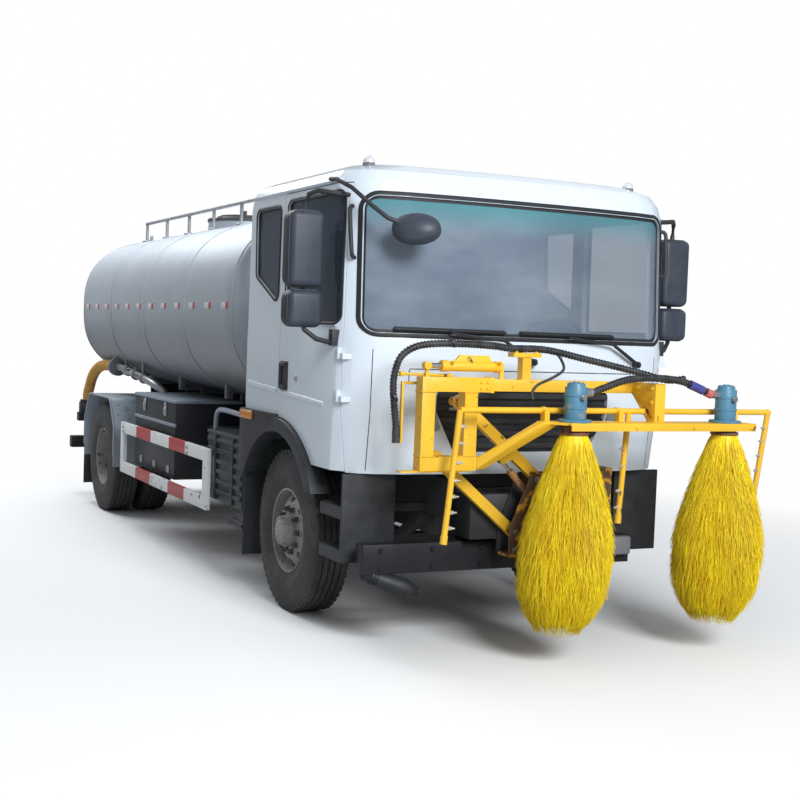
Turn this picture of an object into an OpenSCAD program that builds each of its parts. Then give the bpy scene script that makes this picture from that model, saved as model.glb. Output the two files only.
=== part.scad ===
// Guardrail cleaning truck: a two-axle water tanker with a flat-nosed cab and a
// pair of upright brushes on a swinging, sliding frame in front.
// X is forward from the front axle, Y is the truck's left, Z is up from the road.

/* [Wheels] */
// Distance between the axles
wheelbase = 4700; // [4200:10:5200]
// Outer diameter of a tyre
tyre_d = 1040; // [1000:5:1060]
// Width of one tyre
tyre_w = 280; // [250:5:290]
// Diameter of the rim's bead seat
rim_d = 545; // [500:5:570]
// Distance between the front tyres' centres
front_track = 1900; // [1880:5:1940]
// Distance between the middles of the twin rear wheels
rear_track = 1780; // [1740:5:1800]
// Distance between the centres of two twin tyres
twin_pitch = 320; // [310:2:340]

/* [Chassis] */
// Outer width over the two rails
frame_w = 860; // [820:5:870]
// Height of a rail
rail_h = 240; // [200:5:260]
// Flange width of a rail
rail_w = 75; // [60:1:90]
// Thickness of a rail's web and flanges
rail_wall = 10; // [8:1:14]
// Height of the rails' top face above the road
rail_top = 960; // [930:5:990]
// Reach of the rails ahead of the front axle
rail_front = 1010; // [980:5:1030]
// Reach of the rails behind the rear axle
rail_rear = 1180; // [1100:10:1300]

/* [Cab] */
// Half of the cab's width at the belt line
cab_half = 1150; // [1120:5:1180]
// Most forward point of the cab
cab_nose = 1150; // [1130:5:1180]
// Rear face of the cab, behind the front axle
cab_back_x = 660; // [620:5:700]
// Lower edge of the cab's front
cab_low = 1000; // [985:5:1020]
// Height of the roof's crown
cab_top = 2820; // [2780:5:2860]
// Thickness of the doors and walls
wall = 60; // [45:1:70]
// Front edge of the door opening
door_front = 930; // [900:5:950]
// Rear edge of the door opening
door_rear = 0; // [-40:5:40]
// Gap around a door
door_gap = 6; // [6:1:9]

/* [Tank] */
// Length of the tank over its heads
tank_len = 4980; // [4600:10:5100]
// Half width of the tank
tank_half = 1150; // [1100:5:1200]
// Half height of the tank
tank_rise = 740; // [700:5:770]
// Height of the tank's axis above the road
tank_z = 1965; // [1940:5:2000]
// Gap between the cab and the tank's front head
tank_gap = 210; // [180:5:260]
// Diameter of the manhole
manhole_d = 660; // [600:5:700]

/* [Brush frame] */
// Distance from the front axle to the frame's plane
boom_x = 1480; // [1470:5:1500]
// Size of the frame's square tubes
tube = 80; // [70:1:90]
// Wall of the frame's outer tubes
tube_wall = 6; // [5:0.5:8]
// Distance from the front axle to the brushes' axes
brush_x = 1750; // [1740:5:1790]
// Diameter of a brush at its widest
brush_d = 520; // [480:5:540]
// Length of a brush's bristles
brush_len = 1110; // [1000:5:1120]
// Distance between the two brushes' axes
brush_pitch = 1055; // [1000:5:1080]
// Sideways place of the right brush's axis
brush_y = -60; // [-90:5:-50]
// Travel of the sliding head
head_travel = 300; // [200:5:300]
// Height of the brush beam's plate
beam_z = 1345; // [1335:1:1355]

/* [Hidden] */
// Number of segments on round pieces and on rounded corners
$fn = 64;
arc_steps = 6;
// Overrun of a cut, running gap at pins and rods, gap between moving pieces
over = 5;
slip = 0.5;
gap = 6;
// Gap between curved faces that only rest on each other
seat = 0.3;

// Wheels and axles
axle_z = tyre_d / 2;
rear_x = -wheelbase;
kingpin_in = 150;
kingpin_y = front_track / 2 - kingpin_in;
spindle_d = 80;
hub_d = 210;
hub_nose = 110;
hub_reach = 200;
disc_t = 14;
rim_t = 12;
rim_in = 60;
rim_w = tyre_w - rim_in;
rim_out = [85, 110];
dish_r = [90, 40, 35, 85];
dish_y = [55, 75, 35];
hub_end = [12, 70];
tyre_round = 22;
tread_in = 25;
hand_in = 62;
hand_cut = 90;
hand_holes = 8;
hand_hole_d = 62;

// Chassis pieces
rail_low = rail_top - rail_h;
rail_back = rear_x - rail_rear;
bumper_back = [230, 120];
rail_in = frame_w / 2 - rail_w;
member_w = 90;
member_h = 120;
spring_w = 75;
spring_h = 80;
spring_len = 1300;
beam_h = 95;
beam_w = 100;
axle_drop = 90;
axle_end = [135, 60];
axle_lap = 5;
neck_half = 40;
kingpin_d = 44;
boss_d = 96;
boss_h = 110;
fork_t = 32;
yoke_t = 28;

// Cab sections from the lower edge to the crown
cab_h = cab_top - cab_low;
roof_seam = cab_low + 0.918 * cab_h;
screen_low = cab_low + 0.448 * cab_h;
screen_high = cab_low + 0.876 * cab_h;
screen_in = [110, 115];
screen_low_half = cab_half - screen_in[0];
screen_high_half = cab_half - screen_in[1];
screen_round = 80;
glass_t = 8;
glass_in = 14;
floor_z = 1275;
floor_t = 45;
arch_r = 735;
sill_z = 1270;
belt_z = cab_low + 0.475 * cab_h;
window_top = cab_low + 0.887 * cab_h;
window_round = 45;
pillar = 70;
door_lean = 20;
frame_edge = 30;
quarter_rise = [0.066 * cab_h, 0.165 * cab_h];
quarter_drop = 25;
quarter_in = [150, 175];
back_half = 0.45 * cab_half;
back_rise = 100;
back_drop = 60;
cab_wide = cab_half + over;

// Tank pieces
tank_front = -cab_back_x - tank_gap;
tank_rear = tank_front - tank_len;
dish = 110;
tank_power = 2.7;
tank_flat = 12;
tank_top = tank_z + tank_rise - tank_flat;
tank_steps = 72;

// Brush frame places
carry_z = beam_z + 200;
sleeve_end = -450;
post_y = [-855, -590];
low_z = 1110;
pivot_low = [-10, 965];
link_run = [-570, 475];
pivot_offset = [-115, -320];
pivot_up = pivot_low + link_run;
link_front = [1352, 1397];
link_back = [1295, 1335];
base_plates = [[1268, 1284], [1408, 1422]];
link_w = 60;
pin_d = 30;
eye_d = 84;
lift_base = [-95, 890];
lift_along = 330;
lift_below = 70;
link_len = norm(link_run);
link_dir = link_run / link_len;
link_down = [-link_dir[1], link_dir[0]];
lift_eye = pivot_low + lift_along * link_dir + lift_below * link_down;
lift_len = norm(lift_eye - lift_base);
lift_dir = (lift_eye - lift_base) / lift_len;
lift_x = (link_front[0] + link_front[1]) / 2;

// Helpers

// Box between two corners
module span(a, b) {
    translate(a) cube(b - a);
}

// The children on both sides of the truck
module both_sides() {
    children();
    mirror([0, 1, 0]) children();
}

// Children drawn at the left, or mirrored to the right where side is -1
module on_side(side) {
    mirror([0, side < 0 ? 1 : 0, 0]) children();
}

// Round bars along X, Y and Z between two places
module bar_x(d, x0, x1) {
    translate([x0, 0, 0]) rotate([0, 90, 0]) cylinder(d = d, h = x1 - x0);
}
module bar_y(d, y0, y1) {
    translate([0, y0, 0]) rotate([-90, 0, 0]) cylinder(d = d, h = y1 - y0);
}
module bar_z(d, z0, z1) {
    translate([0, 0, z0]) cylinder(d = d, h = z1 - z0);
}

// Outline in X and Z, extruded along Y
module side_prism(path, y0, y1) {
    translate([0, y1, 0]) rotate([90, 0, 0]) linear_extrude(y1 - y0) polygon(path);
}

// Outline in Y and Z, extruded along X
module front_prism(path, x0, x1) {
    translate([x0, 0, 0]) rotate([90, 0, 90]) linear_extrude(x1 - x0) polygon(path);
}

// Arc that rounds the corner b between a and c
function corner(a, b, c, r) =
    let (u = (a - b) / norm(a - b), v = (c - b) / norm(c - b))
    let (half = acos(u * v) / 2, reach = r / tan(half))
    let (mid = b + (u + v) / norm(u + v) * r / sin(half))
    let (p = b + u * reach - mid, q = b + v * reach - mid)
    let (start = atan2(p[1], p[0]), turn = atan2(p[0] * q[1] - p[1] * q[0], p * q))
    [for (i = [0 : arc_steps]) mid + r * [cos(start + turn * i / arc_steps),
            sin(start + turn * i / arc_steps)]];

// Outline with every corner rounded by r
function rounded(path, r) =
    let (n = len(path))
    [for (i = [0 : n - 1]) each corner(path[(i + n - 1) % n], path[i], path[(i + 1) % n], r)];

function rect(a, b) = [a, [b[0], a[1]], b, [a[0], b[1]]];

// Closed skin over rings that all have the same number of points
module skin(rings) {
    n = len(rings[0]);
    last = len(rings) - 1;
    sides = [for (k = [0 : last - 1], i = [0 : n - 1])
        each [[k * n + i, (k + 1) * n + (i + 1) % n, (k + 1) * n + i],
              [k * n + i, k * n + (i + 1) % n, (k + 1) * n + (i + 1) % n]]];
    caps = [[for (i = [n - 1 : -1 : 0]) i], [for (i = [0 : n - 1]) last * n + i]];
    polyhedron(points = [for (r = rings) each r], faces = concat(sides, caps));
}

// Tube of eight sides along a route
function unit(v) = v / norm(v);
module hose(route, d) {
    n = len(route);
    sides = 8;
    rings = [for (k = [0 : n - 1])
        let (t = unit(route[min(k + 1, n - 1)] - route[max(k - 1, 0)]))
        let (a = unit(cross(abs(t[2]) > 0.9 ? [1, 0, 0] : [0, 0, 1], t)), b = cross(t, a))
        [for (i = [0 : sides - 1]) route[k] + d / 2 * (a * cos(360 * i / sides) - b * sin(360 * i / sides))]];
    skin(rings);
}

// Round bar between two points
module rod(a, b, d) {
    v = b - a;
    translate(a) rotate([0, acos(v[2] / norm(v)), atan2(v[1], v[0])]) cylinder(d = d, h = norm(v));
}

// Square tube along Y, hollow
module sleeve_y(size, t, y0, y1, x, z) {
    difference() {
        span([x - size / 2, y0, z - size / 2], [x + size / 2, y1, z + size / 2]);
        span([x - size / 2 + t, y0 - over, z - size / 2 + t], [x + size / 2 - t, y1 + over, z + size / 2 - t]);
    }
}

// Chassis

// Places of the cross members, clear of the engine and the gearbox
member_shares = [0.3, 0.48, 0.66, 0.84, 1.16];
member_x = concat([rail_front - member_w], [for (k = member_shares) k * rear_x], [rail_back]);

module rail() {
    difference() {
        span([rail_back, rail_in, rail_low], [rail_front, frame_w / 2, rail_top]);
        span([rail_back - over, rail_in - over, rail_low + rail_wall],
             [rail_front + over, frame_w / 2 - rail_wall, rail_top - rail_wall]);
    }
}

tow_r = 25;
tow_t = 36;
tow_w = 130;
tow_reach = 120;

module tow_plate() {
    difference() {
        span([rail_back - tow_reach, -tow_w / 2, rail_low + rail_h / 2 - tow_t / 2],
             [rail_back + over, tow_w / 2, rail_low + rail_h / 2 + tow_t / 2]);
        translate([rail_back - tow_reach + 2 * tow_r, 0, 0]) bar_z(2 * tow_r, rail_low, rail_top);
    }
}

module chassis_frame() {
    color([0.16, 0.16, 0.17]) {
        both_sides() rail();
        tow_plate();
        for (x = member_x)
            span([x, -frame_w / 2 + rail_wall, rail_low + (rail_h - member_h) / 2],
                 [x + member_w, frame_w / 2 - rail_wall, rail_low + (rail_h + member_h) / 2]);
    }
}

engine_x = [-535, 615];
engine_gap = 45;
engine_w = 2 * (rail_in - engine_gap);
engine_z = [560, 1155];
engine_foot_x = [-380, 300];
engine_foot = 90;
engine_foot_t = 40;
gearbox_end = -1235;
gearbox_d = 420;
gearbox_z = 700;

module engine_block() {
    color([0.25, 0.26, 0.27]) {
        span([engine_x[0], -engine_w / 2, engine_z[0]], [engine_x[1], engine_w / 2, engine_z[1]]);
        translate([0, 0, gearbox_z]) bar_x(gearbox_d, gearbox_end, engine_x[0] + over);
        both_sides() for (x = engine_foot_x)
            span([x, engine_w / 2 - over, rail_top], [x + engine_foot, frame_w / 2, rail_top + engine_foot_t]);
    }
}

module front_axle() {
    color([0.14, 0.14, 0.15]) {
        span([-beam_w / 2, -kingpin_y + axle_end[0] - axle_lap, axle_z - axle_drop - beam_h / 2],
             [beam_w / 2, kingpin_y - axle_end[0] + axle_lap, axle_z - axle_drop + beam_h / 2]);
        both_sides() {
            side_prism(rect([-beam_w / 2, axle_z - axle_drop - beam_h / 2], [beam_w / 2, axle_z + boss_h / 2]),
                       kingpin_y - axle_end[0], kingpin_y - axle_end[1]);
            span([-neck_half, kingpin_y - axle_end[1] - axle_lap, axle_z - neck_half], [neck_half,
                    kingpin_y, axle_z + neck_half]);
            translate([0, kingpin_y, 0]) {
                bar_z(boss_d, axle_z - boss_h / 2, axle_z + boss_h / 2);
                bar_z(kingpin_d, axle_z - boss_h / 2 - fork_t, axle_z + boss_h / 2 + fork_t);
            }
        }
    }
}

spindle_reach = 90;
spindle_end = front_track / 2 + spindle_reach;

module knuckle(side) {
    color([0.18, 0.18, 0.19]) on_side(side) difference() {
        union() {
            for (z = [axle_z - boss_h / 2 - slip - fork_t, axle_z + boss_h / 2 + slip])
                translate([0, kingpin_y, 0]) bar_z(boss_d, z, z + fork_t);
            span([-boss_d / 2, kingpin_y + boss_d / 2 + gap, axle_z - boss_h / 2 - slip - fork_t],
                 [boss_d / 2, kingpin_y + boss_d / 2 + gap + yoke_t, axle_z + boss_h / 2 + slip + fork_t]);
            for (z = [axle_z - boss_h / 2 - slip - fork_t, axle_z + boss_h / 2 + slip])
                span([-boss_d / 2, kingpin_y, z], [boss_d / 2, kingpin_y + boss_d / 2 + gap + yoke_t,
                        z + fork_t]);
            translate([0, 0, axle_z]) bar_y(spindle_d, kingpin_y + boss_d / 2 + gap + yoke_t / 2, spindle_end);
        }
        translate([0, kingpin_y, 0])
            bar_z(kingpin_d + 2 * slip, axle_z - boss_h, axle_z + boss_h);
    }
}

house_d = 150;
house_half = 715;
drive_d = 430;
drive_face = 120;
nose_d = 150;
nose_x = 330;
shaft_d = 90;
yoke_d = 120;
yoke_len = 60;
pad_h = 10;
pad_x = 90;

module rear_axle() {
    color([0.14, 0.14, 0.15]) {
        translate([rear_x, 0, axle_z]) {
            bar_y(house_d, -house_half, house_half);
            bar_y(spindle_d, -rear_track / 2 - hub_reach, rear_track / 2 + hub_reach);
            bar_x(drive_d, -drive_face, drive_face);
            bar_x(nose_d, 0, nose_x);
            both_sides() span([-pad_x, rail_in, 0], [pad_x, rail_in + spring_w, house_d / 2 + pad_h]);
        }
        rod([rear_x + nose_x - over, 0, axle_z], [gearbox_end - yoke_len / 2, 0, gearbox_z], shaft_d);
        translate([0, 0, gearbox_z]) bar_x(yoke_d, gearbox_end - yoke_len, gearbox_end);
    }
}

spring_eye = 70;
spring_end = 60;
leaf_t = 50;

module spring_at(x, seat_z) {
    both_sides() {
        side_prism([
            [x - spring_len / 2, rail_low - spring_end], [x - spring_len / 4, seat_z + spring_h / 3],
            [x - pad_x, seat_z], [x + pad_x, seat_z],
            [x + spring_len / 4, seat_z + spring_h / 3], [x + spring_len / 2, rail_low - spring_end],
            [x + spring_len / 2, rail_low], [x + spring_len / 2 - spring_eye, rail_low],
            [x + spring_len / 4, seat_z + spring_h / 3 + leaf_t], [x, seat_z + spring_h],
            [x - spring_len / 4, seat_z + spring_h / 3 + leaf_t], [x - spring_len / 2 + spring_eye, rail_low],
            [x - spring_len / 2, rail_low]], rail_in, rail_in + spring_w);
    }
}

module springs() {
    color([0.12, 0.12, 0.13]) {
        spring_at(0, axle_z - axle_drop + beam_h / 2);
        spring_at(rear_x, axle_z + house_d / 2 + pad_h);
    }
}

// Wheels, drawn about the Y axis at the origin

function tyre_path() = rounded([
    [rim_d / 2, -rim_w / 2], [tyre_d / 2 - tyre_w / 2, -tyre_w / 2], [tyre_d / 2, -tyre_w / 2 + tread_in],
    [tyre_d / 2, tyre_w / 2 - tread_in], [tyre_d / 2 - tyre_w / 2, tyre_w / 2], [rim_d / 2, rim_w / 2]],
            tyre_round);

module tyre() {
    rotate([90, 0, 0]) rotate_extrude() polygon(tyre_path());
}

// Rim with its disc, y positive towards the outside of the truck
module rim(face) {
    rotate([-90, 0, 0]) difference() {
        rotate_extrude() polygon([
            [spindle_d / 2 + slip, face - hub_nose], [hub_d / 2, face - hub_nose], [hub_d / 2, face - disc_t],
            [rim_d / 2 - dish_r[0], face - disc_t], [rim_d / 2 - dish_r[1], face - dish_y[0]],
            [rim_d / 2 - rim_t, face - dish_y[1]], [rim_d / 2 - rim_t, -rim_w / 2],
            [rim_d / 2 - seat, -rim_w / 2], [rim_d / 2 - seat, rim_w / 2], [rim_d / 2 - rim_t, rim_w / 2],
            [rim_d / 2 - rim_t, face - dish_y[0]], [rim_d / 2 - dish_r[2], face - dish_y[2]],
            [rim_d / 2 - dish_r[3], face], [hub_d / 2, face],
            [hub_d / 2 - hub_end[0], face + hub_end[1]], [spindle_d / 2 + slip, face + hub_end[1]]]);
        for (i = [0 : hand_holes - 1]) rotate(360 * i / hand_holes)
            translate([rim_d / 2 - hand_in, 0, face - hand_cut]) cylinder(d = hand_hole_d, h = 2 * hand_cut);
    }
}

module front_tyre(side) {
    color([0.08, 0.08, 0.08]) on_side(side) translate([0, front_track / 2, axle_z]) tyre();
}
module front_rim(side) {
    color([0.62, 0.63, 0.65]) on_side(side) translate([0, front_track / 2, axle_z]) rim(rim_out[0]);
}
module rear_tyres(side) {
    color([0.08, 0.08, 0.08]) on_side(side)
        for (k = [-1, 1]) translate([rear_x, rear_track / 2 + k * twin_pitch / 2, axle_z]) tyre();
}
module rear_rims(side) {
    color([0.62, 0.63, 0.65]) on_side(side) {
        translate([rear_x, rear_track / 2 + twin_pitch / 2, axle_z]) mirror([0, 1, 0]) rim(rim_out[1]);
        translate([rear_x, rear_track / 2 - twin_pitch / 2, axle_z]) rim(rim_out[1]);
    }
}

// Cab

// Columns, as shares: height, setback of the nose, loss of half width, inset of the rear, loss of height inside
cab_rows = [
    [0, 0.039, 0.013, 0, 0.25], [0.19, 0.01, 0, 0, 0], [0.41, 0, 0, 0, 0], [0.448, 0.01, 0.002, 0, 0],
    [0.876, 0.039, 0.007, 0, 0], [0.925, 0.061, 0.017, 0.003, 0], [0.959, 0.091, 0.048, 0.006, 0.6],
    [0.984, 0.174, 0.139, 0.02, 0.9], [1, 0.39, 0.417, 0.1, 1]];
function cab_sections(i) = [for (r = cab_rows)
    [cab_low + r[0] * cab_h - r[4] * i, cab_nose * (1 - r[1]) - i,
     cab_half * (1 - r[2]) - i, i + r[3] * (cab_nose + cab_back_x)]];

front_sweep = 75;
front_corner = 190;
front_power = 11;
rear_round = 35;
// Places across the front, as shares of the half width
front_shares = [1, 0.99, 0.97, 0.94, 0.9, 0.84, 0.7, 0.45, 0.2, -0.2, -0.45, -0.7, -0.84, -0.9, -0.94,
        -0.97, -0.99, -1];

function cab_ring(s) =
    let (z = s[0], nose = s[1], half = s[2], back = -cab_back_x + s[3])
    concat(
        [for (u = front_shares)
            [nose - front_sweep * u * u - front_corner * pow(abs(u), front_power), half * u, z]],
        [[back + rear_round, -half, z], [back, -half + rear_round, z],
         [back, half - rear_round, z], [back + rear_round, half, z]]);

module cab_form(inset) {
    skin([for (s = cab_sections(inset)) cab_ring(s)]);
}

// Space under the cab's sides that the front wheels turn in
module arch_space() {
    translate([0, 0, axle_z]) bar_y(2 * arch_r, -2 * cab_wide, 2 * cab_wide);
    span([-cab_back_x - over, -2 * cab_wide, 0], [0, 2 * cab_wide, sill_z]);
}

module cab_shell() {
    difference() {
        cab_form(0);
        cab_form(wall);
        arch_space();
    }
}

function screen_path() = rounded([
    [-screen_low_half, screen_low], [screen_low_half, screen_low],
    [screen_high_half, screen_high], [-screen_high_half, screen_high]], screen_round);
function door_window_path() = rounded([
    [door_rear + pillar, belt_z], [door_front - frame_edge, belt_z],
    [door_front - door_lean * (window_top - belt_z) / (roof_seam - belt_z) - frame_edge, window_top],
    [door_rear + pillar, window_top]], window_round);
// Hinges of a door: axis, places, leaf sizes
door_hinge_z = [cab_low + 0.225 * cab_h, cab_low + 0.36 * cab_h];
door_pin_in = 10;
door_pin = [door_front - door_gap / 2, cab_half - door_pin_in];
door_pin_d = 12;
knuckle_d = 24;
leaf_h = 32;
leaf_len = 55;
leaf_in = 60;
// Outlines of a door and of the front, split along the leaning pillar
function door_path() = [
    [door_rear, cab_low + door_gap], [door_front - door_gap, cab_low + door_gap], [door_front - door_gap,
            belt_z],
    [door_front - door_lean - door_gap, roof_seam - door_gap], [door_rear, roof_seam - door_gap]];
function front_path() = [
    [door_front, 0], [cab_nose + over, 0], [cab_nose + over, roof_seam],
    [door_front - door_lean, roof_seam], [door_front, belt_z]];
function quarter_path() = rounded([
    [door_rear - pillar, belt_z + quarter_rise[0]], [door_rear - pillar, window_top - quarter_drop],
    [-cab_back_x + quarter_in[0], window_top - quarter_drop],
    [-cab_back_x + quarter_in[1], belt_z + quarter_rise[1]]], window_round);
function back_window_path() = rounded(rect(
    [-back_half, belt_z + back_rise], [back_half, window_top - back_drop]), window_round);

module glass_skin() {
    difference() {
        cab_form(glass_in);
        cab_form(glass_in + glass_t);
    }
}

module cab_front() {
    color([0.86, 0.89, 0.93]) difference() {
        intersection() {
            cab_shell();
            side_prism(front_path(), -cab_wide, cab_wide);
        }
        front_prism(screen_path(), 0, cab_nose + over);
        grille_space();
    }
    color([0.86, 0.89, 0.93]) both_sides() for (z = door_hinge_z) {
        difference() {
            span([door_pin[0], door_pin[1] - leaf_in, z], [door_pin[0] + leaf_len, door_pin[1], z + leaf_h]);
            cab_form(over);
        }
        translate([door_pin[0], door_pin[1], 0]) {
            bar_z(knuckle_d, z, z + leaf_h);
            bar_z(door_pin_d, z, z + 2 * leaf_h + slip);
        }
    }
}

module cab_roof() {
    color([0.86, 0.89, 0.93]) intersection() {
        cab_shell();
        span([-cab_back_x - over, -cab_wide, roof_seam], [cab_nose + over, cab_wide, cab_top + over]);
    }
}

module cab_back() {
    color([0.84, 0.87, 0.91]) difference() {
        intersection() {
            cab_shell();
            span([-cab_back_x - over, -cab_wide, 0], [-cab_back_x + wall, cab_wide, roof_seam]);
        }
        front_prism(back_window_path(), -cab_back_x - over, -cab_back_x + 2 * wall);
    }
}

module cab_sides() {
    color([0.86, 0.89, 0.93]) difference() {
        intersection() {
            cab_shell();
            span([-cab_back_x + wall, -cab_wide, 0], [door_rear - door_gap, cab_wide, roof_seam]);
        }
        side_prism(quarter_path(), -2 * cab_wide, 2 * cab_wide);
    }
}

floor_side = 75;
cab_post_x = [-560, 700];
cab_post = 80;

module cab_floor() {
    color([0.2, 0.2, 0.21]) {
        span([-cab_back_x + wall, -cab_half + wall + floor_side, floor_z],
             [dash_x + dash_leg[1], cab_half - wall - floor_side, floor_z + floor_t]);
        both_sides() for (x = cab_post_x)
            span([x, rail_in, rail_top], [x + cab_post, frame_w / 2, floor_z + over]);
    }
}

module cab_glass() {
    color([0.25, 0.35, 0.36, 0.5]) {
        intersection() {
            glass_skin();
            front_prism(screen_path(), door_front - 2 * door_lean, cab_nose + over);
        }
        intersection() {
            glass_skin();
            side_prism(quarter_path(), -2 * cab_wide, 2 * cab_wide);
        }
        intersection() {
            glass_skin();
            front_prism(back_window_path(), -cab_back_x - over, -cab_back_x + wall);
        }
    }
}

module door(side) {
    color([0.86, 0.89, 0.93]) on_side(side) difference() {
        union() {
            difference() {
                intersection() {
                    cab_shell();
                    side_prism(door_path(), 0, cab_wide);
                }
                side_prism(door_window_path(), 0, 2 * cab_wide);
            }
            for (z = door_hinge_z) {
                difference() {
                    span([door_pin[0] - leaf_len, door_pin[1] - leaf_in, z + leaf_h + slip],
                         [door_pin[0], door_pin[1], z + 2 * leaf_h + slip]);
                    cab_form(over);
                }
                translate([door_pin[0], door_pin[1], 0]) bar_z(knuckle_d, z + leaf_h + slip,
                        z + 2 * leaf_h + slip);
            }
        }
        for (z = door_hinge_z)
            translate([door_pin[0], door_pin[1], 0]) bar_z(door_pin_d + 2 * slip, z, z + 3 * leaf_h);
    }
}

module door_glass(side) {
    color([0.25, 0.35, 0.36, 0.5]) on_side(side) intersection() {
        glass_skin();
        side_prism(door_window_path(), cab_half / 2, 2 * cab_wide);
    }
}

dash_x = 700;
dash_low = 1560;
dash_high = 1800;
dash_side = 110;
dash_foot = 60;
dash_deep = [120, 230];
dash_drop = [20, 90];
dash_leg = [120, 170];
leg_half = 700;
wheel_y = 480;
steer_d = 460;
steer_t = 32;
steer_at = [110, 30];
steer_lean = -55;
spoke_w = 36;
spoke_t = 16;
boss_wide = 130;
boss_deep = 30;
column_d = 70;
column_len = 230;

module dashboard() {
    color([0.16, 0.17, 0.18]) {
        side_prism([[dash_x + dash_foot, dash_low], [dash_x + dash_deep[1], dash_low],
                    [dash_x + dash_deep[1], dash_high - dash_drop[0]], [dash_x + dash_deep[0], dash_high],
                    [dash_x, dash_high - dash_drop[1]]], -cab_half + wall + dash_side,
                            cab_half - wall - dash_side);
        side_prism(rect([dash_x + dash_leg[0], floor_z + floor_t], [dash_x + dash_leg[1], dash_low + over]),
                   -leg_half, leg_half);
        translate([dash_x - steer_at[0], wheel_y, dash_high - steer_at[1]]) rotate([0, steer_lean, 0]) {
            rotate_extrude() translate([steer_d / 2, 0]) circle(d = steer_t);
            for (a = [90, 210, 330]) rotate(a)
                translate([0, -spoke_w / 2, -spoke_t / 2]) cube([steer_d / 2, spoke_w, spoke_t]);
            cylinder(d = boss_wide, h = boss_deep, center = true);
            translate([0, 0, -column_len]) cylinder(d = column_d, h = column_len);
        }
    }
}

// Seats: rear and front ends, half width and height of the box, cushion, back and head rest
box_x = [-380, 120];
box_half = 240;
box_h = 330;
cushion_x = [-420, 150];
cushion_half = 260;
cushion_h = 460;
rest_at = [-440, 400];
rest_size = [130, 500, 640];
rest_lean = -8;
head_at = [-530, 1030];
head_size = [100, 280, 200];

module seats() {
    color([0.2, 0.21, 0.23]) for (y = [-wheel_y, wheel_y]) translate([0, y, floor_z]) {
        span([box_x[0], -box_half, floor_t], [box_x[1], box_half, box_h]);
        span([cushion_x[0], -cushion_half, box_h], [cushion_x[1], cushion_half, cushion_h]);
        translate([rest_at[0], -rest_size[1] / 2, rest_at[1]]) rotate([0, rest_lean, 0]) cube(rest_size);
        translate([head_at[0], -head_size[1] / 2, head_at[1]]) cube(head_size);
    }
}

grille_low = 1130;
grille_high = 1500;
grille_half = 0.52 * cab_half;
grille_cut = 130;
grille_round = 40;
grille_in = [30, 46];
grille_back = 200;
grille_slats = 5;
slat_in = 2;
slat_rise = 25;
slat_h = 30;
front_reach = 100;

module grille_space() {
    front_prism(rounded([[-grille_half + grille_cut, grille_low], [grille_half - grille_cut, grille_low],
                         [grille_half, grille_high - grille_cut], [grille_half, grille_high],
                         [-grille_half, grille_high], [-grille_half, grille_high - grille_cut]], grille_round),
                door_front - grille_back, cab_nose + front_reach);
}

module grille() {
    color([0.07, 0.07, 0.08]) {
        intersection() {
            grille_space();
            difference() {
                cab_form(grille_in[0]);
                cab_form(grille_in[1]);
            }
        }
        intersection() {
            grille_space();
            difference() {
                cab_form(slat_in);
                cab_form(grille_in[0] + slat_in);
            }
            for (k = [0 : grille_slats - 1])
                translate([0, -cab_wide,
                        grille_low + slat_rise + k * (grille_high - grille_low) / grille_slats])
                    cube([2 * cab_wide, 2 * cab_wide, slat_h]);
        }
    }
}

lamp_t = 14;
lamp_round = 20;
lamp_y = [-40, 60, 110, 8];
lamp_z = [-260, -220, -130, -130];
tail_t = 45;
tail_y = [620, 1000];
tail_z = [770, 890];

module lamps() {
    color([0.9, 0.9, 0.88]) {
        both_sides() intersection() {
            difference() {
                cab_form(-lamp_t);
                cab_form(-seat);
            }
            front_prism(rounded([for (k = [0 : 3]) [grille_half + lamp_y[k], grille_high + lamp_z[k]]],
                    lamp_round),
                        door_front, cab_nose + front_reach);
        }
        both_sides() span([bumper_x[0] - tail_t, tail_y[0], tail_z[0]], [bumper_x[0], tail_y[1], tail_z[1]]);
    }
}

bar_low = 445;
bar_high = 615;
bar_back = 1085;
bar_depth = 100;
bar_y = [-1060, 760];
bar_drop = 30;
nozzle_d = 76;
nozzle_from = [1140, -1020, 440];
nozzle_to = [1200, -755, 345];

module front_bar() {
    color([0.1, 0.1, 0.11]) {
        span([bar_back, bar_y[0], bar_low], [bar_back + bar_depth, bar_y[1], bar_high]);
        both_sides() span([rail_front, rail_in, bar_low], [bar_back + over, frame_w / 2, rail_top - bar_drop]);
        rod(nozzle_from, nozzle_to, nozzle_d);
        for (p = [nozzle_from, nozzle_to])
            translate(p) sphere(d = nozzle_d);
    }
}

flare_in = 640;
flare_out = 728;
flare_side = [100, 25];
flare_y = [cab_half - flare_side[0], cab_half + flare_side[1]];
flare_rise = 320;
flare_drop = 7;
step_x = [655, 985];
step_y = [800, 1110];
step_z = [480, 730];
step_t = 70;
step_wall = 25;
flap_x = -655;
flap_y = 760;
flap_t = 12;
flap_in = 40;
flap_low = 255;
flap_arm = 50;
flap_arm_z = 775;

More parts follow.
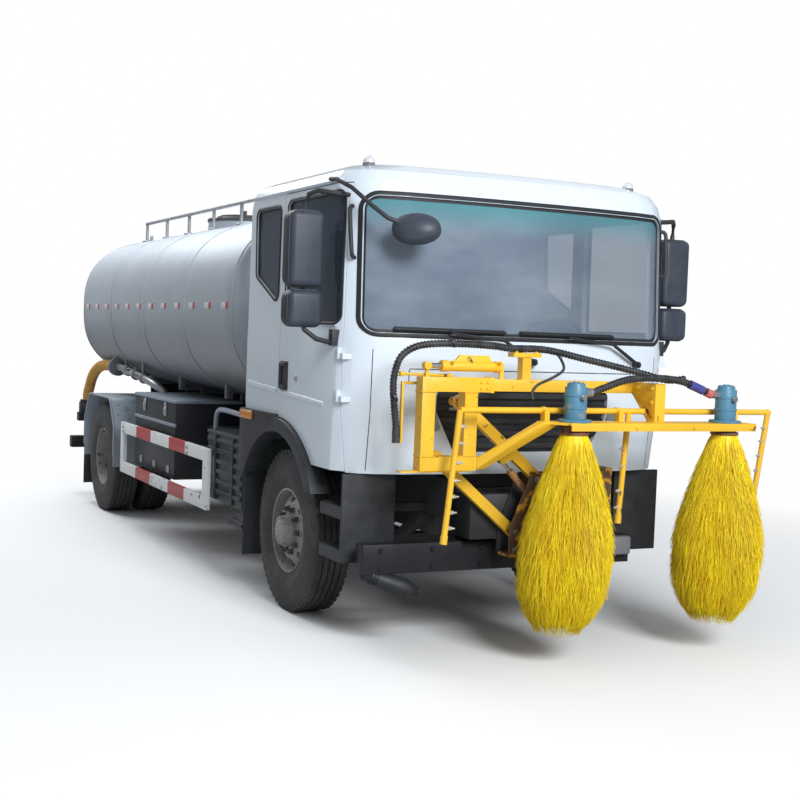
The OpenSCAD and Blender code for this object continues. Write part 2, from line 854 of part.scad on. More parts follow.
module front_fenders() {
    color([0.09, 0.09, 0.1]) both_sides() {
        difference() {
            union() {
                translate([0, 0, axle_z]) bar_y(2 * flare_out, flare_y[0], flare_y[1]);
                span([-cab_back_x, flare_y[0], axle_z], [0, flare_y[1], sill_z - flare_drop]);
                span([-cab_back_x, flare_y[0], axle_z], [door_rear - door_gap, flare_y[1], sill_z]);
            }
            translate([0, 0, axle_z]) bar_y(2 * flare_in, 0, 2 * cab_wide);
            span([-2 * flare_out, 0, -flare_out], [2 * flare_out, 2 * cab_wide, axle_z + flare_rise]);
        }
        span([flap_x, flap_y, flap_low], [flap_x + flap_t, flare_y[1] - flap_in, axle_z + flare_rise + over]);
        span([flap_x, frame_w / 2, flap_arm_z], [flap_x + flap_arm, flap_y + over, flap_arm_z + flap_arm]);
        for (z = step_z)
            span([step_x[0], step_y[0], z], [step_x[1], step_y[1], z + step_t]);
        span([step_x[0], step_y[0] - step_wall, step_z[0]], [step_x[1], step_y[0] + over, cab_low - gap]);
        span([step_x[1] - step_wall, step_y[0], step_z[0]], [step_x[1], step_y[1], cab_low - gap]);
        span([step_x[0], frame_w / 2, step_z[1]], [step_x[0] + flap_arm, step_y[0], step_z[1] + flap_arm]);
    }
}

// Tank

function tank_ring(x, shrink) =
    let (a = tank_half - shrink, b = tank_rise - shrink, p = 2 / tank_power)
    [for (i = [0 : tank_steps - 1])
        let (t = 360 * i / tank_steps)
        [x, a * sign(cos(t)) * pow(abs(cos(t)), p),
         tank_z + min(b * sign(sin(t)) * pow(abs(sin(t)), p), tank_rise - tank_flat)]];

// Heads: share of the dish depth against share of the tank's half height drawn in
head_shares = [[0, 0], [0.3, 0.012], [0.52, 0.04], [0.7, 0.11], [0.86, 0.3], [1, 0.65]];
saddle_shares = [0.106, 0.327, 0.548, 0.645, 0.894];
saddle_t = 24;
saddle_half = 540;
saddle_z = 60;
saddle_up = 150;
fitting_d = 180;
fitting_in = 300;
fitting_len = 60;
suction_reach = 1155;
fitting_x = max(tank_rear + fitting_in, rail_back - bumper_back[0] + suction_reach);
fitting_y = -985;
fitting_z = 1380;
sub_in = [300, 250];
sub_h = 110;

module tank() {
    color([0.66, 0.67, 0.69]) {
        skin(concat(
            [for (k = [len(head_shares) - 1 : -1 : 0])
                tank_ring(tank_front - dish + head_shares[k][0] * dish, head_shares[k][1] * tank_rise)],
            [for (h = head_shares)
                tank_ring(tank_rear + dish - h[0] * dish, h[1] * tank_rise)]));
        both_sides() span([tank_rear + sub_in[0], rail_in, rail_top], [tank_front - sub_in[1],
                frame_w / 2, rail_top + sub_h]);
        for (k = saddle_shares) let (x = tank_front - k * tank_len)
            span([x, -saddle_half, rail_top + saddle_z], [x + saddle_t, saddle_half,
                    tank_z - tank_rise + saddle_up]);
        translate([0, fitting_y, fitting_z]) bar_x(fitting_d, fitting_x, fitting_x + fitting_len);
    }
}

module tank_cut() {
    rotate([90, 0, 90]) translate([0, 0, tank_rear])
        linear_extrude(tank_len) polygon([for (p = tank_ring(0, 0)) [p[1], p[2]]]);
}

rail_y = 520;
rail_z = 2860;
rail_d = 34;
rail_posts = 6;
post_d = 30;
rail_in_x = [1030, 140];
rail_run = [tank_front - rail_in_x[0], tank_rear + rail_in_x[1]];
post_pitch = (rail_run[0] - rail_run[1] - rail_d) / (rail_posts - 1);

module top_rails() {
    color([0.7, 0.71, 0.72]) both_sides() difference() {
        union() {
            translate([0, rail_y, rail_z]) bar_x(rail_d, rail_run[1], rail_run[0]);
            for (k = [0 : rail_posts - 1])
                translate([rail_run[1] + rail_d / 2 + k * post_pitch, rail_y, 0]) bar_z(post_d, tank_z, rail_z);
        }
        tank_cut();
    }
}

manhole_in = 1750;
manhole_x = tank_rear + manhole_in;
neck_h = 110;
neck_t = 12;
lid_t = 26;

lid_lip = 8;
lid_d = manhole_d + 2 * (neck_t + lid_lip);
hinge_back = 40;
hinge_x = -lid_d / 2 - hinge_back;
hinge_z = neck_h + lid_t / 2;
hinge_d = 30;
hinge_pin = 16;
hinge_w = 80;
ear_t = 14;
handle_d = 40;
handle_h = 55;
dome_h = 40;
dome_share = 0.7;

module manhole_neck() {
    color([0.5, 0.51, 0.52]) translate([manhole_x, 0, tank_top]) {
        difference() {
            cylinder(d = manhole_d + 2 * neck_t, h = neck_h);
            translate([0, 0, -over]) cylinder(d = manhole_d, h = neck_h + 2 * over);
        }
        span([hinge_x - hinge_d / 2, -hinge_w / 2 - gap - ear_t, 0],
             [-manhole_d / 2 - neck_t / 2, hinge_w / 2 + gap + ear_t, hinge_z - hinge_d / 2 - gap]);
        for (y = [-hinge_w / 2 - gap - ear_t, hinge_w / 2 + gap])
            span([hinge_x - hinge_d / 2, y, 0], [hinge_x + hinge_d / 2, y + ear_t, hinge_z + hinge_d / 2]);
        translate([hinge_x, 0, hinge_z]) bar_y(hinge_pin, -hinge_w / 2 - gap - ear_t,
                hinge_w / 2 + gap + ear_t);
    }
}

module manhole_lid() {
    color([0.32, 0.33, 0.34]) translate([manhole_x, 0, tank_top]) difference() {
        union() {
            translate([0, 0, neck_h + slip]) cylinder(d = lid_d, h = lid_t);
            translate([0, 0, neck_h + lid_t]) cylinder(d = manhole_d * dome_share, h = dome_h);
            bar_z(handle_d, neck_h + lid_t, neck_h + lid_t + dome_h + handle_h);
            span([hinge_x, -hinge_w / 2, neck_h + slip], [-manhole_d / 2, hinge_w / 2, neck_h + lid_t]);
            translate([hinge_x, 0, hinge_z]) bar_y(hinge_d, -hinge_w / 2, hinge_w / 2);
        }
        translate([hinge_x, 0, hinge_z]) bar_y(hinge_pin + 2 * slip, -hinge_w, hinge_w);
    }
}

fender_top = 590;
fender_half = 612;
fender_flat = 430;
fender_knee = 330;
fender_round = 90;
fender_t = 14;
fender_w = 640;
fender_low = 40;
fender_arm = [480, 583];
fender_arm_half = 40;
fender_in = rear_track / 2 - fender_w / 2;
rear_flap_low = -330;
rear_flap_t = 12;

function fender_path(t) = rounded([
    [-fender_half - t, -fender_half], [fender_half + t, -fender_half], [fender_half + t, fender_knee],
    [fender_flat + t / 2, fender_top + t], [-fender_flat - t / 2, fender_top + t],
    [-fender_half - t, fender_knee]], fender_round + t);

module rear_fenders() {
    color([0.55, 0.6, 0.64]) both_sides() translate([rear_x, 0, axle_z]) {
        difference() {
            side_prism(fender_path(0), fender_in, fender_in + fender_w);
            side_prism(fender_path(-fender_t), 0, 2 * cab_wide);
            span([-2 * fender_half, 0, -2 * fender_half], [2 * fender_half, 2 * cab_wide, -fender_low]);
        }
        span([-fender_arm_half, frame_w / 2, fender_arm[0]], [fender_arm_half, fender_in + 2 * over,
                fender_arm[1]]);
        span([-fender_half, fender_in, rear_flap_low], [rear_flap_t - fender_half, fender_in + fender_w,
                over - fender_low]);
    }
}

guard_x = [-3800, -1250];
guard_z = [475, 925];
guard_bar = 95;
guard_t = 35;
guard_y = 1180;

guard_arm_x = [-3720, -1765];
guard_arm = 50;

module side_guards() {
    color([0.9, 0.88, 0.88]) both_sides() {
        difference() {
            span([guard_x[0], guard_y, guard_z[0]], [guard_x[1], guard_y + guard_t, guard_z[1]]);
            span([guard_x[0] + guard_bar, guard_y - over, guard_z[0] + guard_bar],
                 [guard_x[1] - guard_bar, guard_y + guard_t + over, guard_z[1] - guard_bar]);
        }
        for (x = guard_arm_x)
            span([x, frame_w / 2, guard_z[1] - guard_bar], [x + guard_arm, guard_y + over,
                    guard_z[1] - guard_arm / 2]);
    }
}

// Columns: rear end, front end, lower face, upper face, inner face, outer face
right_boxes = [
    [-3650, -2400, 560, 1005, frame_w / 2, 1120], [-3650, -2400, 1000, 1190, 560, 1120],
    [-2350, -1790, 640, 1005, frame_w / 2, 860], [-1700, -900, 520, 1020, frame_w / 2, 1060]];
left_boxes = [[-1350, -950, 560, 1005, frame_w / 2, 1060]];
fuel_d = 540;
fuel_y = 800;
fuel_z = 735;
fuel_x = [-3300, -1900];
fuel_arm_x = [-3050, -2250];
fuel_arm = 90;
fuel_arm_y = 700;

module box_row(boxes) {
    for (b = boxes)
        span([b[0], b[4], b[2]], [b[1], b[5], b[3]]);
}

module chassis_boxes() {
    color([0.13, 0.14, 0.15]) {
        mirror([0, 1, 0]) box_row(right_boxes);
        box_row(left_boxes);
        translate([0, fuel_y, fuel_z]) bar_x(fuel_d, fuel_x[0], fuel_x[1]);
        for (x = fuel_arm_x)
            span([x, frame_w / 2, fuel_z], [x + fuel_arm, fuel_arm_y, fuel_z + fuel_arm]);
    }
}

under_z = [480, 600];
upper_z = [760, 850];
bumper_x = [rail_back - bumper_back[0], rail_back - bumper_back[1]];
bumper_half = [1190, 1120];
hanger_y = [300, 360];
hanger_t = 50;
block_w = 160;
block_h = 110;
block_y = -1020;

module rear_bumper() {
    color([0.12, 0.12, 0.13]) {
        span([bumper_x[0], -bumper_half[0], under_z[0]], [bumper_x[1], bumper_half[0], under_z[1]]);
        span([bumper_x[0], -bumper_half[1], upper_z[0]], [bumper_x[1], bumper_half[1], upper_z[1]]);
        both_sides() {
            span([bumper_x[1] - over, rail_in, rail_low], [rail_back, frame_w / 2, rail_top]);
            span([bumper_x[0], hanger_y[0], under_z[0]], [bumper_x[0] + hanger_t, hanger_y[1], upper_z[1]]);
        }
        span([bumper_x[0], block_y - block_w / 2, upper_z[1] - over], [bumper_x[1], block_y + block_w / 2,
                upper_z[1] + block_h]);
    }
}

suction_d = 110;
suction_end = (bumper_x[0] + bumper_x[1]) / 2;
// Columns, as shares: way from the fitting to the bumper, height above the block
suction_shares = [[0.05, 1], [0.17, 1], [0.36, 1], [0.55, 0.95], [0.72, 0.83], [0.85, 0.64], [0.94, 0.39],
        [1, 0.18]];
suction_from = [fitting_x - seat, fitting_y, fitting_z];
suction_to = [suction_end, block_y, upper_z[1] + block_h + seat];
suction_route = concat([suction_from],
    [for (k = suction_shares) let (u = max(k[0] - suction_shares[0][0], 0))
        [suction_from[0] + k[0] * (suction_to[0] - suction_from[0]),
         suction_from[1] + u / (1 - suction_shares[0][0]) * (suction_to[1] - suction_from[1]),
         suction_to[2] + k[1] * (suction_from[2] - suction_to[2])]],
    [suction_to]);

module suction_hose() {
    color([0.85, 0.6, 0.2]) hose(suction_route, suction_d);
}

// Route of the arm: X as a place, Y from the cab's side, Z as a share of the cab's height
kerb_route = [for (p = [
    [720, 60, 0.923], [765, -10, 0.93], [860, -12, 0.925], [1000, 25, 0.893], [1120, 85, 0.841], [1195,
            160, 0.799],
    [1235, 260, 0.777]]) [p[0], p[1] - cab_half, cab_low + p[2] * cab_h]];
kerb_d = 26;
kerb_at = [1250, 315, 0.769];
kerb_head = [kerb_at[0], kerb_at[1] - cab_half, cab_low + kerb_at[2] * cab_h];
kerb_size = [180, 270];
kerb_t = 44;
kerb_turn = [0, 60, -35];

module kerb_mirror() {
    color([0.16, 0.17, 0.17]) difference() {
        union() {
            hose(kerb_route, kerb_d);
            translate(kerb_head) rotate(kerb_turn) scale([kerb_size[0] / kerb_size[1], 1, 1])
                cylinder(d = kerb_size[1], h = kerb_t, center = true);
        }
        cab_form(0);
    }
}

beacon_x = 775;
beacon_in = 225;
beacon_y = cab_half - beacon_in;
beacon_d = 72;
beacon_tip = 44;
beacon_rise = [110, 10, 22];
beacon_z = [cab_top - beacon_rise[0], cab_top - beacon_rise[1], cab_top + beacon_rise[2]];

module beacons() {
    color([0.9, 0.9, 0.92]) difference() {
        both_sides() translate([beacon_x, beacon_y, 0]) {
            bar_z(beacon_d, beacon_z[0], beacon_z[1]);
            translate([0, 0, beacon_z[1]]) cylinder(d1 = beacon_d, d2 = beacon_tip,
                    h = beacon_z[2] - beacon_z[1]);
        }
        cab_form(0);
    }
}

// Arm of a mirror: X as a place, Y from the cab's side, Z as a share of the cab's height
mirror_route = [for (p = [
    [908, -80, 0.874], [880, 20, 0.879], [830, 110, 0.886], [785, 150, 0.875], [765, 160, 0.835], [765,
            160, 0.66],
    [765, 160, 0.495], [780, 150, 0.448], [820, 90, 0.42], [868, 10, 0.409], [890, -60, 0.409]])
    [p[0], cab_half + p[1], cab_low + p[2] * cab_h]];
mirror_d = 30;
mirror_x = [715, 805];
mirror_out = [50, 270];
mirror_y = [cab_half + mirror_out[0], cab_half + mirror_out[1]];
mirror_shares = [[0.455, 0.574], [0.581, 0.824]];
mirror_round = 55;
foot_x = [852, 905];
foot_z = [cab_low + 0.4 * cab_h, cab_low + 0.452 * cab_h];
foot_t = 25;

module mirror_arm(side) {
    color([0.15, 0.16, 0.17]) on_side(side) difference() {
        union() {
            hose(mirror_route, mirror_d);
            for (k = mirror_shares) let (z = [for (u = k) cab_low + u * cab_h])
                front_prism(rounded(rect([mirror_y[0], z[0]], [mirror_y[1], z[1]]), mirror_round),
                            mirror_x[0], mirror_x[1]);
            span([foot_x[0], cab_half - foot_t, foot_z[0]], [foot_x[1], cab_half + foot_t, foot_z[1]]);
        }
        cab_form(0);
    }
}

// Brush frame

module square_y(size, y0, y1, x, z) {
    span([x - size / 2, y0, z - size / 2], [x + size / 2, y1, z + size / 2]);
}

module at_pivot(p) {
    translate([0, p[0], p[1]]) children();
}

base_path = [[-250, 570], [60, 570], [60, 1030], [-120, 1030], [-250, 720]];
base_t = 15;
cross_z = [640, 900];
guide_y = [340, 455];
guide_z = [560, 1060];
guide_x = 1400;

module boom_base() {
    color([0.93, 0.66, 0.1]) {
        for (p = base_plates)
            front_prism(base_path, p[0], p[1]);
        span([base_plates[0][0], base_path[0][0], base_path[0][1] - base_t],
             [base_plates[1][1], base_path[1][0], base_path[0][1] + over / 4]);
        span([base_plates[0][0], base_path[1][0] - over / 4, base_path[0][1] - base_t],
             [base_plates[1][1], base_path[1][0] + base_t, base_path[2][1]]);
        for (p = [pivot_low, pivot_low + pivot_offset])
            at_pivot(p) bar_x(pin_d, base_plates[0][0], base_plates[1][1] + 2 * over);
        at_pivot(lift_base) bar_x(pin_d, link_back[1] + gap, base_plates[1][1] + 2 * over);
        span([bar_back + over, -frame_w / 2, cross_z[0]], [base_plates[0][0] + over, frame_w / 2, cross_z[1]]);
        span([bar_back + bar_depth, guide_y[0], guide_z[0]], [guide_x, guide_y[1], guide_z[1]]);
    }
}

module link(p0, p1, x) {
    run = p1 - p0;
    difference() {
        union() {
            translate([0, p0[0], p0[1]]) rotate([atan2(run[1], run[0]), 0, 0])
                span([x[0], 0, -link_w / 2], [x[1], norm(run), link_w / 2]);
            for (p = [p0, p1])
                at_pivot(p) bar_x(eye_d, x[0], x[1]);
        }
        for (p = [p0, p1])
            at_pivot(p) bar_x(pin_d + 2 * slip, x[0] - over, x[1] + over);
    }
}

lug_t = 6;
lug_half = 60;
lug_tip = 30;
lug_reach = 20;

module link_upper() {
    color([0.95, 0.7, 0.12]) {
        link(pivot_low, pivot_up, link_front);
        for (x = [link_front[0], link_front[1] - lug_t])
            front_prism([pivot_low + (lift_along - lug_half) * link_dir + (link_w / 2 - over) * link_down,
                         lift_eye - lug_tip * link_dir + lug_reach * link_down,
                         lift_eye + lug_tip * link_dir + lug_reach * link_down,
                         pivot_low + (lift_along + lug_half) * link_dir + (link_w / 2 - over) * link_down],
                        x, x + lug_t);
    }
}

module link_lower() {
    color([0.95, 0.7, 0.12]) link(pivot_low + pivot_offset, pivot_up + pivot_offset, link_back);
}

inner = tube - 2 * tube_wall - 2 * slip;
shift_z = carry_z + 100;
shift_y = [post_y[0], -385];
shift_lug_d = 44;
shift_lug_half = 20;
shift_lug_t = 16;
barrel_d = 56;
barrel_y = [-770, -410];
shift_d = 30;
rod_lap = 40;
bore_room = 10;
shift_len = head_travel + rod_lap;
bore_len = shift_len + bore_room;
strip_half = 30;
strip_reach = 110;
strip_t = 8;
shoe_y = [[-690, -440], [-655, -475]];
shoe_z = [20, 62];
shoe_half = 8;

module boom_carriage() {
    color([0.96, 0.72, 0.12]) {
        sleeve_y(tube, tube_wall, post_y[0] - tube / 2, sleeve_end, boom_x, carry_z);
        sleeve_y(tube, tube_wall, post_y[0] - tube / 2, post_y[1] + tube / 2, boom_x, low_z);
        for (y = post_y)
            span([boom_x - tube / 2, y - tube / 2, low_z + tube / 2], [boom_x + tube / 2, y + tube / 2,
                    carry_z - tube / 2]);
        for (p = [pivot_up, pivot_up + pivot_offset])
            at_pivot(p) bar_x(pin_d, link_back[0] - 2 * over, boom_x - tube / 2 + over / 2);
        span([boom_x - shift_lug_t / 2, shift_y[0] - shift_lug_t / 2, carry_z + tube / 2],
             [boom_x + shift_lug_t / 2, shift_y[0] + shift_lug_t / 2, shift_z]);
        at_pivot([shift_y[0], shift_z]) bar_x(shift_lug_d, boom_x - shift_lug_half, boom_x + shift_lug_half);
        span([boom_x - strip_half, post_y[0] - tube / 2 - strip_reach, low_z - tube / 2 - strip_t],
             [boom_x + strip_half, post_y[1], low_z - tube / 2]);
    }
}

tower_y = [495, 565];
tower_t = 12;
tower_back = 15;
tower_x = brush_x - tower_back;
tower_foot = 70;
beam_half = 90;
beam_t = 14;
beam_y = [-250, 1157];
beam_cut = 112;
lip_t = 14;
lip_h = 30;
post_place = -235;
post_half = 28;
cap_z = [1705, 1730];
cap_half = [35, 90];
arm_from = [10, 60];
arm_y = [post_y[1] + tube / 2 + arm_from[0], post_y[1] + tube / 2 + arm_from[1]];
arm_half = 30;
arm_t = 10;
arm_foot = [80, 20];
arm_foot_x = [brush_x - arm_foot[0], brush_x - arm_foot[1]];
arm_foot_y = -150;
stop_t = 24;
shaft_hole = 46;
tray_d = 16;
tray_x = 1395;
tray_half = 10;
tray_low = 1215;
hang_t = 12;
feed_d = 44;
feed_low = [tray_x, -985, 1230];
hang_y = feed_low[1] + feed_d / 2 + slip;

module beam() {
    difference() {
        union() {
            translate([0, 0, beam_z]) linear_extrude(beam_t) polygon([
                [brush_x - beam_half, beam_y[0]], [brush_x + beam_half, beam_y[0] + beam_cut],
                [brush_x + beam_half, beam_y[1]], [brush_x - beam_half, beam_y[1]]]);
            span([brush_x + beam_half - lip_t, beam_y[0] + beam_cut, beam_z - lip_h],
                 [brush_x + beam_half, beam_y[1], beam_z + over]);
        }
        for (y = brush_ys)
            translate([brush_x, y, 0]) bar_z(shaft_hole, beam_z - over, beam_z + beam_t + over);
    }
}

module tower() {
    difference() {
        union() {
            for (y = [tower_y[0], tower_y[1] - tower_t])
                side_prism([[boom_x + inner / 2 - over, carry_z + inner / 2],
                        [boom_x + inner / 2 - over, carry_z - inner / 2],
                            [tower_x - tower_foot, beam_z + beam_t - over / 4], [tower_x,
                                    beam_z + beam_t - over / 4],
                            [tower_x, carry_z + inner / 2]], y, y + tower_t);
            span([tower_x - tower_t, tower_y[0], beam_z + beam_t - over / 4], [tower_x, tower_y[1],
                    carry_z + inner / 2]);
        }
        translate([pipe_x, 0, pipe_z]) bar_y(pipe_d + 2 * gap, tower_y[0] - over, tower_y[1] + over);
    }
}

module boom_head() {
    color([0.97, 0.74, 0.12]) {
        square_y(inner, post_y[0] - tube / 2, tower_y[1], boom_x, carry_z);
        square_y(inner, post_y[0] - tube / 2, arm_y[1], boom_x, low_z);
        span([boom_x - shift_lug_t / 2, shift_y[1] - stop_t / 2, carry_z + inner / 2 - over],
             [boom_x + shift_lug_t / 2, shift_y[1] + stop_t / 2, shift_z + shift_lug_d / 2]);
        span([boom_x - post_half, post_place - post_half, carry_z + inner / 2 - over],
             [boom_x + post_half, post_place + post_half, cap_z[0] + over]);
        span([boom_x - cap_half[0], post_place - cap_half[1], cap_z[0]], [boom_x + cap_half[0],
                post_place + cap_half[1], cap_z[1]]);
        beam();
        tower();
        hull() {
            span([boom_x + tube / 2 - arm_t, arm_y[0], low_z - arm_half], [boom_x + tube / 2, arm_y[1],
                    low_z + arm_half]);
            span([arm_foot_x[0], beam_y[0], beam_z], [arm_foot_x[1], arm_foot_y, beam_z + beam_t]);
        }
        span([boom_x, arm_y[0], low_z - inner / 2], [boom_x + tube / 2 - over, arm_y[1], low_z + inner / 2]);
        translate([tray_x, 0, carry_z]) bar_y(tray_d, hang_y, post_place);
        span([tray_x, post_place - tray_d / 2, carry_z - tray_d / 2],
             [boom_x - inner / 2 + over, post_place + tray_d / 2, carry_z + tray_d / 2]);
        span([tray_x - tray_half, hang_y, tray_low], [tray_x + tray_half, hang_y + hang_t,
                carry_z + tray_d / 2]);
    }
}

module shift_cylinder() {
    color([0.96, 0.7, 0.14]) difference() {
        union() {
            translate([boom_x, 0, shift_z]) bar_y(barrel_d, barrel_y[0], shift_y[1] - stop_t / 2);
            front_prism([[shoe_y[0][0], shift_z + shoe_z[0]], [shoe_y[0][1], shift_z + shoe_z[0]],
                         [shoe_y[1][1], shift_z + shoe_z[1]], [shoe_y[1][0], shift_z + shoe_z[1]]],
                        boom_x - shoe_half, boom_x + shoe_half);
        }
        translate([boom_x, 0, shift_z]) bar_y(shift_d + 2 * slip, barrel_y[0] - over, barrel_y[0] + bore_len);
    }
}

module shift_rod() {
    color([0.8, 0.78, 0.75]) translate([boom_x, 0, shift_z])
        bar_y(shift_d, shift_y[0] + shift_lug_d / 2 + seat, barrel_y[0] + shift_len);
}

module along_lift(from) {
    translate([lift_x, lift_base[0], lift_base[1]])
        rotate([atan2(lift_dir[1], lift_dir[0]), 0, 0]) translate([0, from, 0]) children();
}

lift_boss_d = 52;
lift_boss_half = 20;
lift_bore = 60;
lift_barrel_d = 42;
lift_rod_d = 22;
lift_barrel_len = 215;
lift_foot = 70;
lift_eye_w = 40;
lift_eye_t = 22;

module lift_barrel() {
    color([0.75, 0.45, 0.15]) difference() {
        union() {
            along_lift(0) bar_y(lift_barrel_d, 0, lift_barrel_len);
            at_pivot(lift_base) bar_x(lift_boss_d, lift_x - lift_boss_half, lift_x + lift_boss_half);
        }
        along_lift(lift_bore) bar_y(lift_rod_d + 2 * slip, 0, lift_barrel_len);
        at_pivot(lift_base) bar_x(pin_d + 2 * slip, lift_x - 2 * lift_boss_half, lift_x + 2 * lift_boss_half);
    }
}

module lift_rod() {
    color([0.7, 0.68, 0.65]) {
        along_lift(lift_foot) bar_y(lift_rod_d, 0, lift_len - lift_foot - lift_eye_w / 2 + over);
        along_lift(lift_len) span([-lift_eye_t / 2, -lift_eye_w / 2, -lift_eye_w / 2],
                                  [lift_eye_t / 2, lift_eye_w / 2, lift_eye_w / 2]);
    }
}

brush_ys = [brush_y, brush_y + brush_pitch];
motor_d = 124;
motor_h = 215;
motor_cap = 20;
motor_in = 22;
shaft_rod_d = 38;
collar_d = 140;
collar_h = 34;
brush_top = beam_z - gap;

module brush_motors() {
    color([0.3, 0.5, 0.66]) for (y = brush_ys)
        translate([brush_x, y, beam_z + beam_t]) {
            cylinder(d = motor_d, h = motor_h - motor_cap);
            translate([0, 0, motor_h - motor_cap]) cylinder(d = motor_d - motor_in, h = motor_cap);
            bar_z(shaft_rod_d, -beam_t - gap - collar_h + slip, over);
        }
}

// Bristle outline: share of the length against share of the widest radius
bristle_shares = [[0, 0.3], [0.05, 0.38], [0.3, 0.72], [0.5, 0.95], [0.65, 1], [0.82, 0.92], [0.94, 0.68],
        [1, 0.3]];

module brush(y) {
    color([0.95, 0.85, 0.05]) translate([brush_x, y, brush_top]) {
        difference() {
            bar_z(collar_d, -collar_h, 0);
            bar_z(shaft_rod_d + 2 * slip, -collar_h, over);
        }
        translate([0, 0, -collar_h - brush_len]) rotate_extrude()
            polygon(concat([[0, 0]],
                [for (k = [len(bristle_shares) - 1 : -1 : 0])
                    [bristle_shares[k][1] * brush_d / 2, (1 - bristle_shares[k][0]) * brush_len]],
                [[0, brush_len]]));
    }
}

pipe_d = 34;
elbow_d = 40;
pipe_up = 70;
pipe_back = 108;
pipe_z = beam_z + pipe_up;
pipe_x = brush_x - pipe_back;
pipe_y = [-725, 380, 1417];
pipe_foot = [-798, 336, 1282];
pipe_low = [690, 770, 545];
clip_y = [-200, 300, 1130];
clip_half = 16;
clip_reach = 44;

module spray_pipes() {
    color([0.95, 0.72, 0.15]) {
        translate([pipe_x, 0, pipe_z]) bar_y(pipe_d, pipe_y[0], pipe_y[2]);
        for (k = [0 : len(pipe_y) - 1])
            rod([pipe_x, pipe_y[k], pipe_z], [pipe_x, pipe_foot[k], pipe_low[k]], pipe_d);
        for (k = [0, 2]) translate([pipe_x, pipe_y[k], pipe_z]) sphere(d = elbow_d);
        for (y = clip_y)
            span([pipe_x, y - clip_half, beam_z + beam_t], [pipe_x + clip_reach, y + clip_half, pipe_z]);
    }
}

feed_z = cap_z[1] + seat + feed_d / 2;
feed_end = 50;
loop_z = [1525, 1612];
feed_route = [
    feed_low, feed_low + [0, 0, feed_end], [1395, -1000, 1400], [1395, -1012, 1510], [1400, -1008, 1600],
            [1408, -975, 1690],
    [1425, -895, 1745], [1450, -780, 1765], [1468, -600, 1768], [1476, -430, 1762],
    [boom_x, post_place - cap_half[1] - over, feed_z], [boom_x, post_place + cap_half[1] + over, feed_z],
    [1494, -20, 1738], [1525, 140, 1705], [1575, 320, 1668], [1645, 480, 1630], [1710, 590, 1600],
            [brush_x, 690, loop_z[1]]];
loop_from = [brush_x, brush_ys[0] + motor_d / 2 + seat, loop_z[0]];
loop_to = [brush_x, brush_ys[1] - motor_d / 2 - seat, loop_z[0]];
loop_shares = [0.12, 0.3, 0.5, 0.7, 0.88];
loop_rise = [0.25, 0.85, 1, 0.85, 0.25];

module hydraulic_hoses() {
    color([0.1, 0.1, 0.11]) {
        hose(feed_route, feed_d);
        hose(concat([loop_from, loop_from + [0, feed_end, 0]],
                    [for (k = [0 : len(loop_shares) - 1])
                        loop_from + loop_shares[k] * (loop_to - loop_from) + [0, 0,
                                loop_rise[k] * (loop_z[1] - loop_z[0])]],
                    [loop_to - [0, feed_end, 0], loop_to]), feed_d);
    }
}

chassis_frame();
engine_block();
front_axle();
rear_axle();
springs();
cab_floor();
cab_back();
cab_sides();
cab_roof();
cab_front();
cab_glass();
dashboard();
seats();
grille();
lamps();
front_bar();
front_fenders();
tank();
top_rails();
manhole_neck();
manhole_lid();
rear_fenders();
side_guards();
chassis_boxes();
suction_hose();
rear_bumper();
kerb_mirror();
beacons();
knuckle(1);  // knuckle_left
knuckle(-1);  // knuckle_right
front_tyre(1);  // front_tyre_left
front_tyre(-1);  // front_tyre_right
rear_tyres(1);  // rear_tyres_left
rear_tyres(-1);  // rear_tyres_right
front_rim(1);  // front_rim_left
front_rim(-1);  // front_rim_right
rear_rims(1);  // rear_rims_left
rear_rims(-1);  // rear_rims_right
door(1);  // door_left
door(-1);  // door_right
door_glass(1);  // door_glass_left
door_glass(-1);  // door_glass_right
mirror_arm(1);  // mirror_left
mirror_arm(-1);  // mirror_right
boom_base();
link_upper();
link_lower();
boom_carriage();
boom_head();
shift_cylinder();
shift_rod();
lift_barrel();
lift_rod();
brush_motors();
spray_pipes();
hydraulic_hoses();
brush(brush_ys[1]);  // brush_left
brush(brush_ys[0]);  // brush_right
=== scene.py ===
# Guardrail cleaning truck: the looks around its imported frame.
# X is forward from the front axle, Y is the truck's left, Z is up from the road, all in metres.

import math
import random

import bmesh
import bpy
from mathutils import Matrix, Vector
from mathutils.bvhtree import BVHTree


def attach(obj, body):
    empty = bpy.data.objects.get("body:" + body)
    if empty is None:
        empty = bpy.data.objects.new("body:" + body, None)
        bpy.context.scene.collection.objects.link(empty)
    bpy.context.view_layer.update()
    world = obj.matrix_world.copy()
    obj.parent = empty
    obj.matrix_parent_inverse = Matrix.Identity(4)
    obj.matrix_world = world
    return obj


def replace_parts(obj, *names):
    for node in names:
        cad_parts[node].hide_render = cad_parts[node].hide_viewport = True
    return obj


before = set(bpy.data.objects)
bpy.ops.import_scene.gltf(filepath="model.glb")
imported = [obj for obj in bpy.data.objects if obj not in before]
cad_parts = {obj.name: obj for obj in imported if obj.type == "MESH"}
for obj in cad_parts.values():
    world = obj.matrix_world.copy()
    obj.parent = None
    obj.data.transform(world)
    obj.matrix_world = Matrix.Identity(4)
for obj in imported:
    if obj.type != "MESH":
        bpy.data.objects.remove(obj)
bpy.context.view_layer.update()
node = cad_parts
scene = bpy.context.scene
scene.view_settings.view_transform = "Standard"

